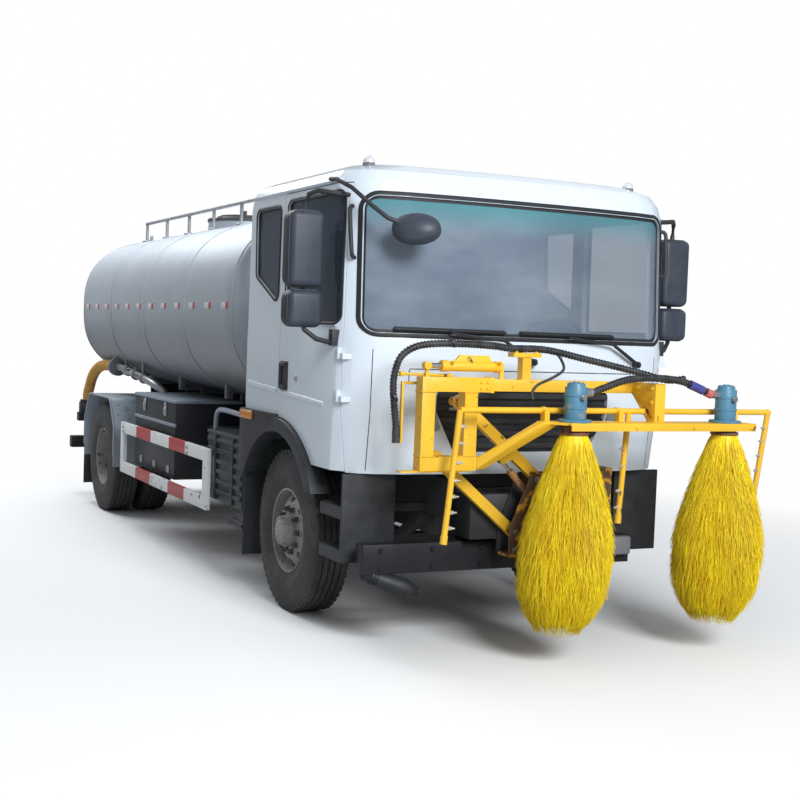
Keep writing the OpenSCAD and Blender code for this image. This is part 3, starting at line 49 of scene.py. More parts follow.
# Camera
# It stands at eye height before the truck's right front corner, a little tilted,
# with a normal lens, as the photograph was taken.
eye = Vector((7.709, -4.064, 1.816))
yaw = math.radians(153.88)
pitch = math.radians(-2.98)
roll = math.radians(2.14)
ahead = Vector((math.cos(pitch) * math.cos(yaw), math.cos(pitch) * math.sin(yaw), math.sin(pitch)))
level = ahead.cross(Vector((0, 0, 1))).normalized()
rise = level.cross(ahead)
right = level * math.cos(roll) + rise * math.sin(roll)
upward = rise * math.cos(roll) - level * math.sin(roll)
camera = bpy.data.objects.new("camera", bpy.data.cameras.new("camera"))
camera.data.sensor_width = 36
camera.data.lens = 57.92
camera.data.clip_end = 200
camera.matrix_world = Matrix.Translation(eye) @ Matrix((right, upward, -ahead)).transposed().to_4x4()
scene.collection.objects.link(camera)
scene.camera = camera


# Floor and light
# A pale studio floor that runs out into a white surround, under three large soft boxes:
# one in front, one above the tank, a weak one behind for the rims of things.
class Wire:
    """One socket of a finish. Sums on it add Math nodes."""

    def __init__(self, tree, socket):
        self.tree = tree
        self.socket = socket

    def add(self, kind, settings, sockets, out=0):
        part = self.tree.nodes.new(kind)
        for key, value in settings.items():
            if key == "stops":
                while len(part.color_ramp.elements) < len(value):
                    part.color_ramp.elements.new(0.5)
                for stop, (place, shade) in zip(part.color_ramp.elements, value):
                    stop.position = place
                    stop.color = (*shade, 1)
            else:
                setattr(part, key, value)
        for key, value in sockets.items():
            if isinstance(value, Wire):
                self.tree.links.new(value.socket, part.inputs[key])
            else:
                part.inputs[key].default_value = value
        return Wire(self.tree, part.outputs[out])

    def math(self, kind, a, b=0.0):
        return self.add("ShaderNodeMath", {"operation": kind}, {0: a, 1: b})

    def __add__(self, other):
        return self.math("ADD", self, other)

    def __radd__(self, other):
        return self.math("ADD", other, self)

    def __sub__(self, other):
        return self.math("SUBTRACT", self, other)

    def __rsub__(self, other):
        return self.math("SUBTRACT", other, self)

    def __mul__(self, other):
        return self.math("MULTIPLY", self, other)

    def __rmul__(self, other):
        return self.math("MULTIPLY", other, self)

    def __gt__(self, other):
        return self.math("GREATER_THAN", self, other)

    def __lt__(self, other):
        return self.math("LESS_THAN", self, other)

    def size(self):
        return self.math("ABSOLUTE", self)

    def clamp(self):
        return self.add("ShaderNodeClamp", {}, {"Value": self})

    def between(self, low, high):
        return (self > low) * (self < high)

    def fade(self, low, high):
        return self.add("ShaderNodeMapRange", {}, {"Value": self, "From Min": low, "From Max": high})

    def mix(self, first, second):
        def shade(value):
            return value if isinstance(value, Wire) else (*value, 1)

        return self.add(
            "ShaderNodeMix", {"data_type": "RGBA"}, {0: self, 6: shade(first), 7: shade(second)}, out=2
        )


class Finish:
    """One material with its surface shader and a wire for its place on the truck."""

    def __init__(self, name, colour, roughness, slot=None, **sockets):
        self.slot = slot or name
        self.material = bpy.data.materials.new(name)
        self.material.use_nodes = True
        self.tree = self.material.node_tree
        self.shader = self.tree.nodes["Principled BSDF"]
        self.shader.inputs["Base Color"].default_value = (*colour, 1)
        self.shader.inputs["Roughness"].default_value = roughness
        for key, value in sockets.items():
            self.shader.inputs[key.replace("_", " ")].default_value = value
        self.place = Wire(self.tree, self.tree.nodes.new("ShaderNodeTexCoord").outputs["Object"])

    def axis(self, letter):
        return self.place.add("ShaderNodeSeparateXYZ", {}, {0: self.place}, out="XYZ".index(letter))

    def noise(self, scale, detail=4.0, stretch=(1, 1, 1)):
        spread = self.place.add("ShaderNodeMapping", {}, {"Vector": self.place, "Scale": stretch})
        return self.place.add(
            "ShaderNodeTexNoise", {}, {"Vector": spread, "Scale": scale, "Detail": detail, "Roughness": 0.6}
        )

    def wave(self, letter, scale):
        return self.place.add(
            "ShaderNodeTexWave", {"bands_direction": letter}, {"Vector": self.place, "Scale": scale}, out=1
        )

    def feed(self, key, value):
        self.tree.links.new(value.socket, self.shader.inputs[key])

    def bump(self, height, depth, strength=0.6):
        self.feed(
            "Normal",
            self.place.add("ShaderNodeBump", {}, {"Height": height, "Distance": depth, "Strength": strength}),
        )


ground = bmesh.new()
bmesh.ops.create_grid(ground, x_segments=1, y_segments=1, size=60)
ground_mesh = bpy.data.meshes.new("floor")
ground.to_mesh(ground_mesh)
ground.free()
floor = bpy.data.objects.new("floor", ground_mesh)
scene.collection.objects.link(floor)
floor_pale = Finish("floor_pale", (0.9, 0.9, 0.9), 0.9, Specular_IOR_Level=0.05)


def looked_at(wire):
    """1 for what the camera sees, straight or through a clear surface."""
    rays = [wire.add("ShaderNodeLightPath", {}, {}, out=word)
            for word in ("Is Camera Ray", "Is Transmission Ray")]
    return (rays[0] + rays[1]).clamp()


shown = looked_at(floor_pale.place)
floor_pale.feed("Base Color", shown.mix((0.5, 0.5, 0.5), (0.94, 0.94, 0.94)))
centred = floor_pale.place.add("ShaderNodeVectorMath", {}, {0: floor_pale.place, 1: (2.2, 0, 0)})
far = centred.add("ShaderNodeVectorMath", {"operation": "LENGTH"}, {0: centred}, out=1).fade(3.6, 6.5)
floor_white = far.add("ShaderNodeEmission", {}, {"Color": (1, 1, 1, 1), "Strength": 1.0})
floor_both = far.add("ShaderNodeMixShader", {}, {0: far * shown, 2: floor_white})
floor_pale.tree.links.new(floor_pale.shader.outputs[0], floor_both.socket.node.inputs[1])
floor_pale.tree.links.new(floor_both.socket, floor_pale.tree.nodes["Material Output"].inputs[0])
ground_mesh.materials.append(floor_pale.material)

world = bpy.data.worlds.new("surround")
scene.world = world
world.use_nodes = True
sky = world.node_tree
sky_light = sky.nodes["Background"]
sky_light.inputs["Color"].default_value = (0.92, 0.96, 1.0, 1)
sky_light.inputs["Strength"].default_value = 0.34
sky_seen = looked_at(Wire(sky, sky_light.outputs[0]))
sky_white = sky_seen.add("ShaderNodeBackground", {}, {"Color": (1, 1, 1, 1)})
sky_lit = Wire(sky, sky_light.outputs[0])
sky_mix = sky_seen.add("ShaderNodeMixShader", {}, {0: sky_seen, 1: sky_lit, 2: sky_white})
sky.links.new(sky_mix.socket, sky.nodes["World Output"].inputs[0])

# Each soft box: place, what it looks at, width, power
for name, place, target, width, power in (
    ("key", (11.0, -0.8, 6.8), (0.8, 0, 1.6), 4, 1300),
    ("top", (-7.5, -2.4, 8.0), (-4.0, 0, 2.4), 6, 600),
    ("back", (-9, 8, 8), (-2, 0, 1.5), 7, 90),
):
    lamp = bpy.data.lights.new(name, "AREA")
    lamp.size = width
    lamp.energy = power
    lamp.color = (0.94, 0.97, 1.0)
    lamp_object = bpy.data.objects.new(name, lamp)
    lamp_object.location = place
    lamp_object.rotation_euler = (Vector(target) - Vector(place)).to_track_quat("-Z", "Y").to_euler()
    scene.collection.objects.link(lamp_object)

# Chassis
# A ladder frame of pressed channels with leaf springs, axles, engine and gearbox,
# sprayed with satin black chassis paint and grey with road dust low down.
road_dust = (0.26, 0.245, 0.225)


def paint(name, colour, roughness, dust=0.35, dust_top=1.3, mottle=0.06, grain=320, chips=0.0,
          under=(0.10, 0.05, 0.022), **sockets):
    """Sprayed paint: a faint cloudiness, chips where asked, and dust that thins out upwards."""
    finish = Finish(name, colour, roughness, **sockets)
    cloud = finish.noise(2.2, 5)
    fine = finish.noise(38, 6)
    darker = tuple(c * (1 - mottle) for c in colour)
    lighter = tuple(min(1, c * (1 + mottle)) for c in colour)
    finish.colour = cloud.fade(0.3, 0.7).mix(darker, lighter)
    if chips:
        flake = (finish.noise(17, 9) + finish.noise(2.6, 3) * 0.5).fade(1.02 - chips, 1.05 - chips)
        finish.colour = flake.mix(finish.colour, under)
    finish.soil = (finish.axis("Z").fade(dust_top, 0.2) * (0.4 + cloud) * (0.55 + 0.7 * fine) * dust).clamp()
    finish.colour = finish.soil.mix(finish.colour, road_dust)
    finish.feed("Base Color", finish.colour)
    finish.feed("Roughness", (roughness + finish.soil * 0.4 + (fine - 0.5) * 0.14).clamp())
    finish.bump(finish.noise(grain, 2), 0.0006, 0.25)
    return finish


def soften():
    """Modifier tree that joins a node's loose triangles and shades it smooth up to a crease."""
    tree = bpy.data.node_groups.new("soft_shade", "GeometryNodeTree")
    tree.interface.new_socket("Geometry", in_out="INPUT", socket_type="NodeSocketGeometry")
    tree.interface.new_socket("Geometry", in_out="OUTPUT", socket_type="NodeSocketGeometry")
    start = tree.nodes.new("NodeGroupInput")
    end = tree.nodes.new("NodeGroupOutput")
    join = tree.nodes.new("GeometryNodeMergeByDistance")
    join.inputs["Distance"].default_value = 0.00005
    smooth = tree.nodes.new("GeometryNodeSetShadeSmooth")
    smooth.inputs["Shade Smooth"].default_value = True
    crease = tree.nodes.new("GeometryNodeSetShadeSmooth")
    crease.domain = "EDGE"
    crease.inputs["Shade Smooth"].default_value = False
    angle = tree.nodes.new("GeometryNodeInputMeshEdgeAngle")
    steep = tree.nodes.new("FunctionNodeCompare")
    steep.operation = "GREATER_THAN"
    steep.inputs[1].default_value = math.radians(32)
    for source, target in (
        (start.outputs[0], join.inputs["Geometry"]),
        (join.outputs[0], smooth.inputs["Geometry"]),
        (smooth.outputs[0], crease.inputs["Geometry"]),
        (angle.outputs["Unsigned Angle"], steep.inputs[0]),
        (steep.outputs[0], crease.inputs["Selection"]),
        (crease.outputs[0], end.inputs[0]),
    ):
        tree.links.new(source, target)
    return tree


soft_shade = soften()


def dress(finish, *names, edge=0.0):
    """Gives CAD nodes their finish, smooth shading and, where asked, broken edges."""
    for name in names:
        part = node[name]
        part.data.materials.clear()
        part.data.materials.append(finish.material)
        if edge:
            weld = part.modifiers.new("weld", "WELD")
            weld.merge_threshold = 0.00005
            bevel = part.modifiers.new("edge", "BEVEL")
            bevel.width = edge
            bevel.segments = 2
            bevel.limit_method = "ANGLE"
            bevel.angle_limit = math.radians(40)
            bevel.use_clamp_overlap = True
        shade = part.modifiers.new("shade", "NODES")
        shade.node_group = soft_shade


def piece(name, mesh, finish, body="truck", crease=30):
    """Makes an object of a bmesh, with its finish and body."""
    data = bpy.data.meshes.new(name)
    mesh.to_mesh(data)
    mesh.free()
    data.materials.append(finish.material)
    data.shade_smooth()
    data.set_sharp_from_angle(angle=math.radians(crease))
    thing = bpy.data.objects.new(name, data)
    scene.collection.objects.link(thing)
    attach(thing, body)
    return thing


def slab(mesh, low, high, edge=0.0, turned=None, segments=2):
    """Box between two corners with rounded edges, turned about its middle if asked."""
    low, high = Vector(low), Vector(high)
    size = high - low
    made = bmesh.ops.create_cube(mesh, size=1)
    bmesh.ops.scale(mesh, vec=size, verts=made["verts"])
    corners = set(made["verts"])
    if edge:
        rims = dict.fromkeys(e for v in made["verts"] for e in v.link_edges)
        cut = bmesh.ops.bevel(
            mesh, geom=list(rims), offset=min(edge, min(size) * 0.49), segments=segments, profile=0.5,
            affect="EDGES", material=-1,
        )
        corners = {v for f in cut["faces"] for v in f.verts}
        corners |= {v for c in corners for f in c.link_faces for v in f.verts}
    if turned is not None:
        bmesh.ops.transform(mesh, matrix=turned.to_4x4(), verts=list(corners))
    bmesh.ops.translate(mesh, vec=(low + high) / 2, verts=list(corners))


def rod(mesh, start, end, radius, tip=None, sides=16):
    """Round bar or cone between two points."""
    start, end = Vector(start), Vector(end)
    run = end - start
    bmesh.ops.create_cone(
        mesh, cap_ends=True, segments=sides, radius1=radius, radius2=radius if tip is None else tip,
        depth=run.length,
        matrix=Matrix.Translation((start + end) / 2) @ run.to_track_quat("Z", "Y").to_matrix().to_4x4(),
    )


def bolt(mesh, foot, facing, radius=0.012):
    """Hexagon head on a washer, standing on foot."""
    foot, facing = Vector(foot), Vector(facing).normalized()
    rod(mesh, foot - facing * 0.002, foot + facing * radius * 0.25, radius * 1.35, sides=14)
    rod(mesh, foot, foot + facing * radius * 0.95, radius, radius * 0.92, sides=6)


rear_axle_x = -4.7
spring_y = 0.3925
chassis_black = paint("chassis_black", (0.03, 0.031, 0.034), 0.5, dust=0.42, dust_top=1.2)
cast_grey = paint("cast_grey", (0.09, 0.095, 0.10), 0.7, dust=0.5, dust_top=1.4, grain=120)
dress(chassis_black, "chassis_frame", "front_axle", "rear_axle", "springs", edge=0.003)
dress(cast_grey, "engine_block", "knuckle_left", "knuckle_right", edge=0.006)
clamps = bmesh.new()
for x, low, high in ((0, 0.37, 0.585), (rear_axle_x, 0.52, 0.715)):
    plate_top = high - 0.013
    for y in (-spring_y, spring_y):
        for dx in (-0.065, 0.065):
            for dy in (-0.048, 0.048):
                rod(clamps, (x + dx, y + dy, low), (x + dx, y + dy, high), 0.009, sides=10)
                bolt(clamps, (x + dx, y + dy, plate_top), (0, 0, 1), 0.014)
        slab(clamps, (x - 0.09, y - 0.066, plate_top - 0.014), (x + 0.09, y + 0.066, plate_top), 0.004)
piece("spring_clamps", clamps, chassis_black)
rail_face = 0.43
rail_rear = -5.7
rail_pitch = 0.28
rail_bolts = bmesh.new()
for side in (-1, 1):
    for k in range(23):
        for z in (0.78, 0.9):
            bolt(rail_bolts, (rail_rear + rail_pitch * k, side * rail_face, z), (0, side, 0), 0.011)
piece("rail_bolts", rail_bolts, chassis_black)

# Wheels
# Radial truck tyres with five ribs and cut shoulders on pressed steel discs,
# held by ten nuts each; silver wheel paint, brown with brake dust.
tyre_finish = Finish("tyre_rubber", (0.022, 0.022, 0.023), 0.75)
tyre_grime = (tyre_finish.noise(5, 6) * tyre_finish.noise(60, 3)).fade(0.12, 0.42)
tyre_finish.feed("Base Color", tyre_grime.mix((0.026, 0.027, 0.03), (0.11, 0.108, 0.105)))
tyre_finish.feed("Roughness", 0.62 + tyre_grime * 0.3)
tyre_finish.bump(tyre_finish.noise(180, 4), 0.0008, 0.4)
axle_height = 0.52
wheel_y = 0.95
twin_ys = (0.73, 1.05)


def turn(mesh, profile, place, axis="Y", steps=64):
    """Spins a profile of (radius, along) about an axis through place."""
    first = len(mesh.verts)
    across = Vector((1, 0, 0)) if axis != "X" else Vector((0, 0, 1))
    along = {"X": Vector((1, 0, 0)), "Y": Vector((0, 1, 0)), "Z": Vector((0, 0, 1))}[axis]
    centre = Vector(place)
    points = [mesh.verts.new(centre + across * r + along * a) for r, a in profile]
    edges = [mesh.edges.new(pair) for pair in zip(points, points[1:])]
    bmesh.ops.spin(
        mesh, geom=points + edges, cent=centre, axis=along, angle=math.tau, steps=steps, use_merge=True
    )
    mesh.verts.ensure_lookup_table()
    bmesh.ops.remove_doubles(mesh, verts=mesh.verts[first:], dist=0.00002)
    bmesh.ops.recalc_face_normals(mesh, faces=mesh.faces[:])


def around(count, radius, centre, axis="Z", start=0.0):
    """Evenly spaced places on a circle, each with its direction from the centre."""
    for k in range(count):
        swing = math.tau * (k + start) / count
        c, s = math.cos(swing), math.sin(swing)
        out = Vector((c, s, 0)) if axis == "Z" else Vector((c, 0, s))
        yield Vector(centre) + out * radius, out


# Half section of the tyre as (radius, place across), from bead to shoulder
bead_radius = 0.2735
tyre_side = [(bead_radius, 0.106), (0.285, 0.112), (0.30, 0.118), (0.325, 0.131), (0.36, 0.138),
             (0.385, 0.1392), (0.392, 0.137), (0.42, 0.1345), (0.455, 0.128), (0.485, 0.1195),
             (0.505, 0.112), (0.5135, 0.104)]
rib_edges = [0.098, 0.0655, 0.0555, 0.024, 0.014]
tread_top = 0.5195
groove_low = 0.5065
groove_slant = 0.002
shoulder_cuts = 54
lug_size = (0.034, 0.030, 0.013)
lug_y = 0.0955
lug_radius = 0.5125


def tyre(mesh, centre):
    tread = [(tread_top, rib_edges[0])]
    for outer, inner in zip(rib_edges[1::2], rib_edges[2::2]):
        tread += [(tread_top, outer), (groove_low, outer - groove_slant), (groove_low, inner + groove_slant),
                  (tread_top, inner)]
    half = [(bead_radius, 0.05)] + tyre_side + tread
    turn(mesh, half + [(r, -y) for r, y in reversed(half)] + half[:1], centre, steps=72)
    for k in range(shoulder_cuts):
        for side in (-1, 1):
            swing = Matrix.Rotation(math.tau * (k + 0.25 * side) / shoulder_cuts, 4, "Y")
            shape = Matrix.Diagonal((*lug_size, 1))
            lug = bmesh.ops.create_cube(mesh, size=1, matrix=shape)["verts"]
            bmesh.ops.translate(mesh, vec=(0, side * lug_y, lug_radius), verts=lug)
            bmesh.ops.transform(mesh, matrix=Matrix.Translation(centre) @ swing, verts=lug)


sides = ((1, "left"), (-1, "right"))
# Each axle: tyre nodes, bodies, place along, tyres across, foot of nuts, face of hub, height of cap
axles = (
    ("front_tyre_", "wheel_front_", 0, (wheel_y,), 1.035, 1.105, 0.018),
    ("rear_tyres_", "wheels_rear_", rear_axle_x, twin_ys, 0.954, 1.05, 0.045),
)
for tyres, wheel, x, ys, _, _, _ in axles:
    for side, word in sides:
        rubber = bmesh.new()
        for y in ys:
            tyre(rubber, Vector((x, side * y, axle_height)))
        treaded = piece(tyres + word + "_treaded", rubber, tyre_finish, wheel + word, crease=28)
        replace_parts(treaded, tyres + word)

wheel_silver = paint("wheel_silver", (0.46, 0.465, 0.48), 0.45, dust=0.7, dust_top=1.5, chips=0.16,
                     Metallic=0.4)
wheel_rust = paint("wheel_nuts", (0.20, 0.165, 0.15), 0.55, dust=0.4, dust_top=1.5, chips=0.25,
                   slot="wheel_silver", Metallic=0.6)
dress(wheel_silver, "front_rim_left", "front_rim_right", "rear_rims_left", "rear_rims_right")
nut_ring = 0.14
cap_ring = 0.08
for _, wheel, x, _, foot_y, hub_y, cap_depth in axles:
    cap_line = ((0.0, cap_depth), (0.05, cap_depth), (0.062, cap_depth - 0.006), (0.068, 0.006),
                (0.092, 0.004), (0.092, 0.0), (0.0, 0.0))
    for side, word in sides:
        body = wheel + word
        nuts = bmesh.new()
        for foot, _ in around(10, nut_ring, (x, side * foot_y, axle_height), "Y"):
            for height, radius, flats in ((0.006, 0.021, 16), (0.026, 0.0165, 6), (0.04, 0.0095, 10)):
                rod(nuts, foot, foot + Vector((0, side * height, 0)), radius, sides=flats)
        piece("nuts_" + body, nuts, wheel_rust, body)
        cap = bmesh.new()
        turn(cap, [(r, side * y) for r, y in cap_line], (x, side * hub_y, axle_height), steps=32)
        for foot, _ in around(8, cap_ring, (x, side * (hub_y + 0.004), axle_height), "Y"):
            bolt(cap, foot, (0, side, 0), 0.008)
        piece("hub_cap_" + body, cap, wheel_silver, body)

# Cab
# A pressed and welded steel day cab in glossy cool white, with black rubber
# round its glass and dust along the lower edges.
cab_white = paint("cab_white", (0.74, 0.82, 0.90), 0.24, dust=0.14, dust_top=1.6, mottle=0.02, grain=500,
                  Coat_Weight=0.4, Coat_Roughness=0.08)
dress(cab_white, "cab_back", "cab_sides", "cab_roof", "cab_front", "door_left", "door_right")
rubber_black = Finish("rubber_black", (0.018, 0.02, 0.024), 0.5, slot="black_plastic")
rubber_black.feed("Roughness", 0.38 + rubber_black.noise(24, 5) * 0.3)
rubber_black.bump(rubber_black.noise(260, 3), 0.0004, 0.4)

skins = {}


def skin_hit(names, start, heading):
    """Nearest point and normal on CAD nodes along a ray."""
    best = None
    for name in names:
        if name not in skins:
            data = node[name].data
            skins[name] = BVHTree.FromPolygons(
                [v.co for v in data.vertices], [list(p.vertices) for p in data.polygons]
            )
        spot, normal, _, distance = skins[name].ray_cast(Vector(start), Vector(heading))
        if spot is not None and (best is None or distance < best[2]):
            best = (spot, normal if normal.dot(Vector(heading)) < 0 else -normal, distance)
    return best


cab_panels = ("cab_front", "cab_sides", "cab_roof", "door_left", "door_right", "cab_glass",
              "door_glass_left", "door_glass_right", "grille")


def on_front(y, z, lift=0.0):
    hit = skin_hit(cab_panels, (3, y, z), (-1, 0, 0))
    return hit[0] + hit[1] * lift


def on_side(side, x, z, lift=0.0):
    hit = skin_hit(cab_panels, (x, 3 * side, z), (0, -side, 0))
    return hit[0] + hit[1] * lift


def rounded(corners, radius, steps=6):
    """Outline with every corner rounded."""
    path = []
    count = len(corners)
    for k in range(count):
        before, here, after = (Vector(corners[j % count]) for j in (k - 1, k, k + 1))
        back = (before - here).normalized()
        on = (after - here).normalized()
        half = back.angle(on) / 2
        reach = radius / math.tan(half)
        middle = here + (back + on).normalized() * (radius / math.sin(half))
        start = here + back * reach - middle
        end = here + on * reach - middle
        sweep = start.angle_signed(end)
        for i in range(steps + 1):
            turned = start.copy()
            turned.rotate(Matrix.Rotation(-sweep * i / steps, 2))
            path.append(middle + turned)
    return path


def fill(path, longest):
    """The outline with long straight runs cut into shorter steps."""
    out = []
    for here, after in zip(path, path[1:] + path[:1]):
        cuts = max(1, math.ceil((after - here).length / longest))
        out += [here.lerp(after, i / cuts) for i in range(cuts)]
    return out


def grow(path, by):
    """The outline moved outwards by a distance, inwards if it is below 0."""
    area = sum(a.cross(b) for a, b in zip(path, path[1:] + path[:1]))
    out = []
    count = len(path)
    for k in range(count):
        run = (path[(k + 1) % count] - path[k - 1]).normalized()
        out.append(path[k] + Vector((run.y, -run.x)) * by * (1 if area > 0 else -1))
    return out


def band(mesh, loops):
    """Closed strip bridged over loops of points."""
    rings = []
    for loop in loops:
        points = [mesh.verts.new(p) for p in loop]
        rings.append([mesh.edges.new((a, b)) for a, b in zip(points, points[1:] + points[:1])])
    for first, second in zip(rings, rings[1:]):
        bmesh.ops.bridge_loops(mesh, edges=first + second)


def seal(name, corners, radius, seat, outer, inner, body):
    """Rubber round a pane: from the panel, over a rounded crown, down to the glass."""
    path = fill(rounded(corners, radius), 0.09)
    mesh = bmesh.new()
    band(mesh, [[seat(p, lift) for p in grow(path, by)]
                for by, lift in ((outer, -0.004), (outer, 0.004), (outer - 0.006, 0.007), (0.004, 0.007),
                                 (-0.002, 0.004), (inner, 0.003), (inner, -0.004))])
    bmesh.ops.recalc_face_normals(mesh, faces=mesh.faces[:])
    piece(name, mesh, rubber_black, body, crease=50)


screen = [(-1.04, 1.8154), (1.04, 1.8154), (1.035, 2.5943), (-1.035, 2.5943)]
seal("screen_seal", screen, 0.08, lambda p, lift: on_front(p.x, p.y, lift), 0.026, -0.018, "truck")
door_window = [(0.07, 1.8645), (0.90, 1.8645), (0.8814, 2.6143), (0.07, 2.6143)]
quarter_window = [(-0.07, 1.9846), (-0.07, 2.5893), (-0.51, 2.5893), (-0.485, 2.1648)]
for side, word in sides:
    def beside(p, lift):
        return on_side(side, p.x, p.y, lift)

    seal("door_seal_" + word, door_window, 0.045, beside, 0.016, -0.012, "door_" + word)
    seal("quarter_seal_" + word, quarter_window, 0.045, beside, 0.02, -0.012, "truck")


def smooth(points, steps=8):
    """Points along a smooth line through the given ones."""
    knots = [Vector(p) for p in points]
    line = []
    for k in range(len(knots) - 1):
        a, b, c, d = knots[max(k - 1, 0)], knots[k], knots[k + 1], knots[min(k + 2, len(knots) - 1)]
        for t in (i / steps for i in range(steps)):
            line.append(b + 0.5 * ((c - a) * t + (2 * a - 5 * b + 4 * c - d) * t * t
                                   + (3 * b - a - 3 * c + d) * t ** 3))
    return line + [knots[-1]]


def tube(name, line, radius, finish, body="truck", round_steps=2, shares=(1.0,), closed=False):
    """Bent round bar or hose along a line, with its thickness repeated from shares."""
    curve = bpy.data.curves.new(name, "CURVE")
    curve.dimensions = "3D"
    curve.bevel_depth = radius
    curve.bevel_resolution = round_steps
    curve.use_fill_caps = True
    spline = curve.splines.new("POLY")
    spline.points.add(len(line) - 1)
    for k, (point, place) in enumerate(zip(spline.points, line)):
        point.co = (*place, 1)
        point.radius = shares[k % len(shares)]
    spline.use_cyclic_u = closed
    spline.use_smooth = True
    curve.materials.append(finish.material)
    thing = bpy.data.objects.new(name, curve)
    scene.collection.objects.link(thing)
    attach(thing, body)
    return thing


# Cab seams
# Gaps where pressings meet: the service flap under the windscreen and the corner panels,
# with a folded drip rail welded along the roof.
seam_sink = -0.0005
flap_half = 0.775
flap_line = ([(-flap_half, 1.53 + 0.01 * k) for k in range(8)]
             + [(-0.77 + 0.07 * k, 1.612) for k in range(23)]
             + [(flap_half, 1.60 - 0.01 * k) for k in range(8)])
tube("flap_gap", [on_front(y, z, seam_sink) for y, z in flap_line], 0.0035, rubber_black, round_steps=0)
for side, word in sides:
    corner_line = [on_front(side * 0.985, 1.02 + 0.05 * k, seam_sink) for k in range(15)]
    tube("corner_gap_" + word, corner_line, 0.003, rubber_black, round_steps=0)
    drip_line = [on_side(side, -0.63 + 0.07 * k, 2.683, 0.003) for k in range(22)]
    tube("drip_rail_" + word, drip_line, 0.011, cab_white, round_steps=1)

# Glass
# Slightly curved laminated panes, faintly blue, with a teal shade band along the top of the
# windscreen. The windscreen's pale, cloudy tones are a painted reflection of the sky, thinner
# towards the truck's left, and the door and quarter panes are painted dark as painted shade.
window_glass = Finish("window_glass", (0.24, 0.31, 0.40), 0.04, IOR=1.5, Specular_IOR_Level=0.7)
ahead_mask = window_glass.axis("X").fade(0.90, 0.93)
shade_band = window_glass.axis("Z").fade(2.40, 2.55) * ahead_mask
# Cloudy noise for the windscreen's pale tones, which are a painted reflection of the sky.
pale_reflection_cloud = window_glass.noise(1.6, 3, (1, 1, 2.5)).fade(0.3, 0.75)
# The door and quarter panes get a dark colour as painted shade; the windscreen gets the pale painted
# reflection.
pane = ahead_mask.mix((0.06, 0.085, 0.125), pale_reflection_cloud.mix((0.22, 0.285, 0.37), (0.34, 0.405, 0.48)))
window_glass.feed("Base Color", shade_band.mix(pane, (0.12, 0.31, 0.36)))
# Towards the truck's left the painted reflection is more see-through, so the cab inside shows.
thinner_reflection = window_glass.axis("Y").fade(-0.05, 0.35)
cover = 0.45 + ahead_mask * (0.1 + pale_reflection_cloud * 0.1 - thinner_reflection * 0.25) + shade_band * 0.25
window_glass.feed("Alpha", cover.clamp())
window_glass.feed("Roughness", 0.03 + pale_reflection_cloud * 0.05)
dress(window_glass, "cab_glass", "door_glass_left", "door_glass_right")

# Wipers
# Two pressed steel arms on splined stubs in the cowl, with rubber blades parked
# along the foot of the windscreen.
stub_z = 1.672
blade_z = 1.846
spine_z = 1.836
for word, stub_y, elbow_y, tip_y in (("left", 0.80, 0.58, -0.06), ("right", 0.02, -0.20, -0.86)):
    wiper = bmesh.new()
    stub = on_front(stub_y, stub_z, 0.03)
    rod(wiper, on_front(stub_y, stub_z, -0.01), on_front(stub_y, stub_z, 0.038), 0.021)
    rod(wiper, stub, on_front(stub_y, stub_z, 0.052), 0.014, 0.009, 6)
    knee = on_front(elbow_y, 1.785, 0.05)
    rod(wiper, stub, knee, 0.013, 0.010, 8)
    hold_y = (elbow_y + tip_y) / 2
    hold = on_front(hold_y, 1.822, 0.055)
    rod(wiper, knee, hold, 0.010, 0.007, 8)
    marks = [elbow_y + 0.03 + (tip_y - elbow_y - 0.03) * k / 9 for k in range(10)]
    for start, end in zip(marks, marks[1:]):
        for z, lift, radius, flats in ((spine_z, 0.032, 0.007, 8), (blade_z, 0.012, 0.0055, 6)):
            rod(wiper, on_front(start, z, lift), on_front(end, z, lift), radius, sides=flats)
    for mark in marks[::3]:
        rod(wiper, on_front(mark, blade_z, 0.008), on_front(mark, spine_z, 0.034), 0.006, sides=6)
    rod(wiper, hold, on_front(hold_y, 1.838, 0.03), 0.009, sides=8)
    piece("wiper_" + word, wiper, rubber_black, crease=40)

# Doors
# Each has a black pull on a rounded plate, a round lock beside it and a swage pressed along
# its panel that runs on into the rear corner; a black grab handle stands before its window.
door_face = 1.150
swage_sink = -0.016
swage_radius = 0.024


def worn(name, tones, rough, span, scale, detail, low=0.35, **sockets):
    """Finish that wears from one tone to another, and is rougher where it is worn."""
    finish = Finish(name, tones[0], rough, **sockets)
    wear = finish.noise(scale, detail)
    finish.feed("Base Color", wear.fade(low, 0.75).mix(*tones))
    finish.feed("Roughness", rough + wear * span)
    return finish


def side_slab(mesh, side, low, high, edge=0.0, segments=2):
    """Slab given by its corners on the left, or the same one on the right."""
    near, far = sorted((side * low[1], side * high[1]))
    slab(mesh, (low[0], near, low[2]), (high[0], far, high[2]), edge, segments=segments)


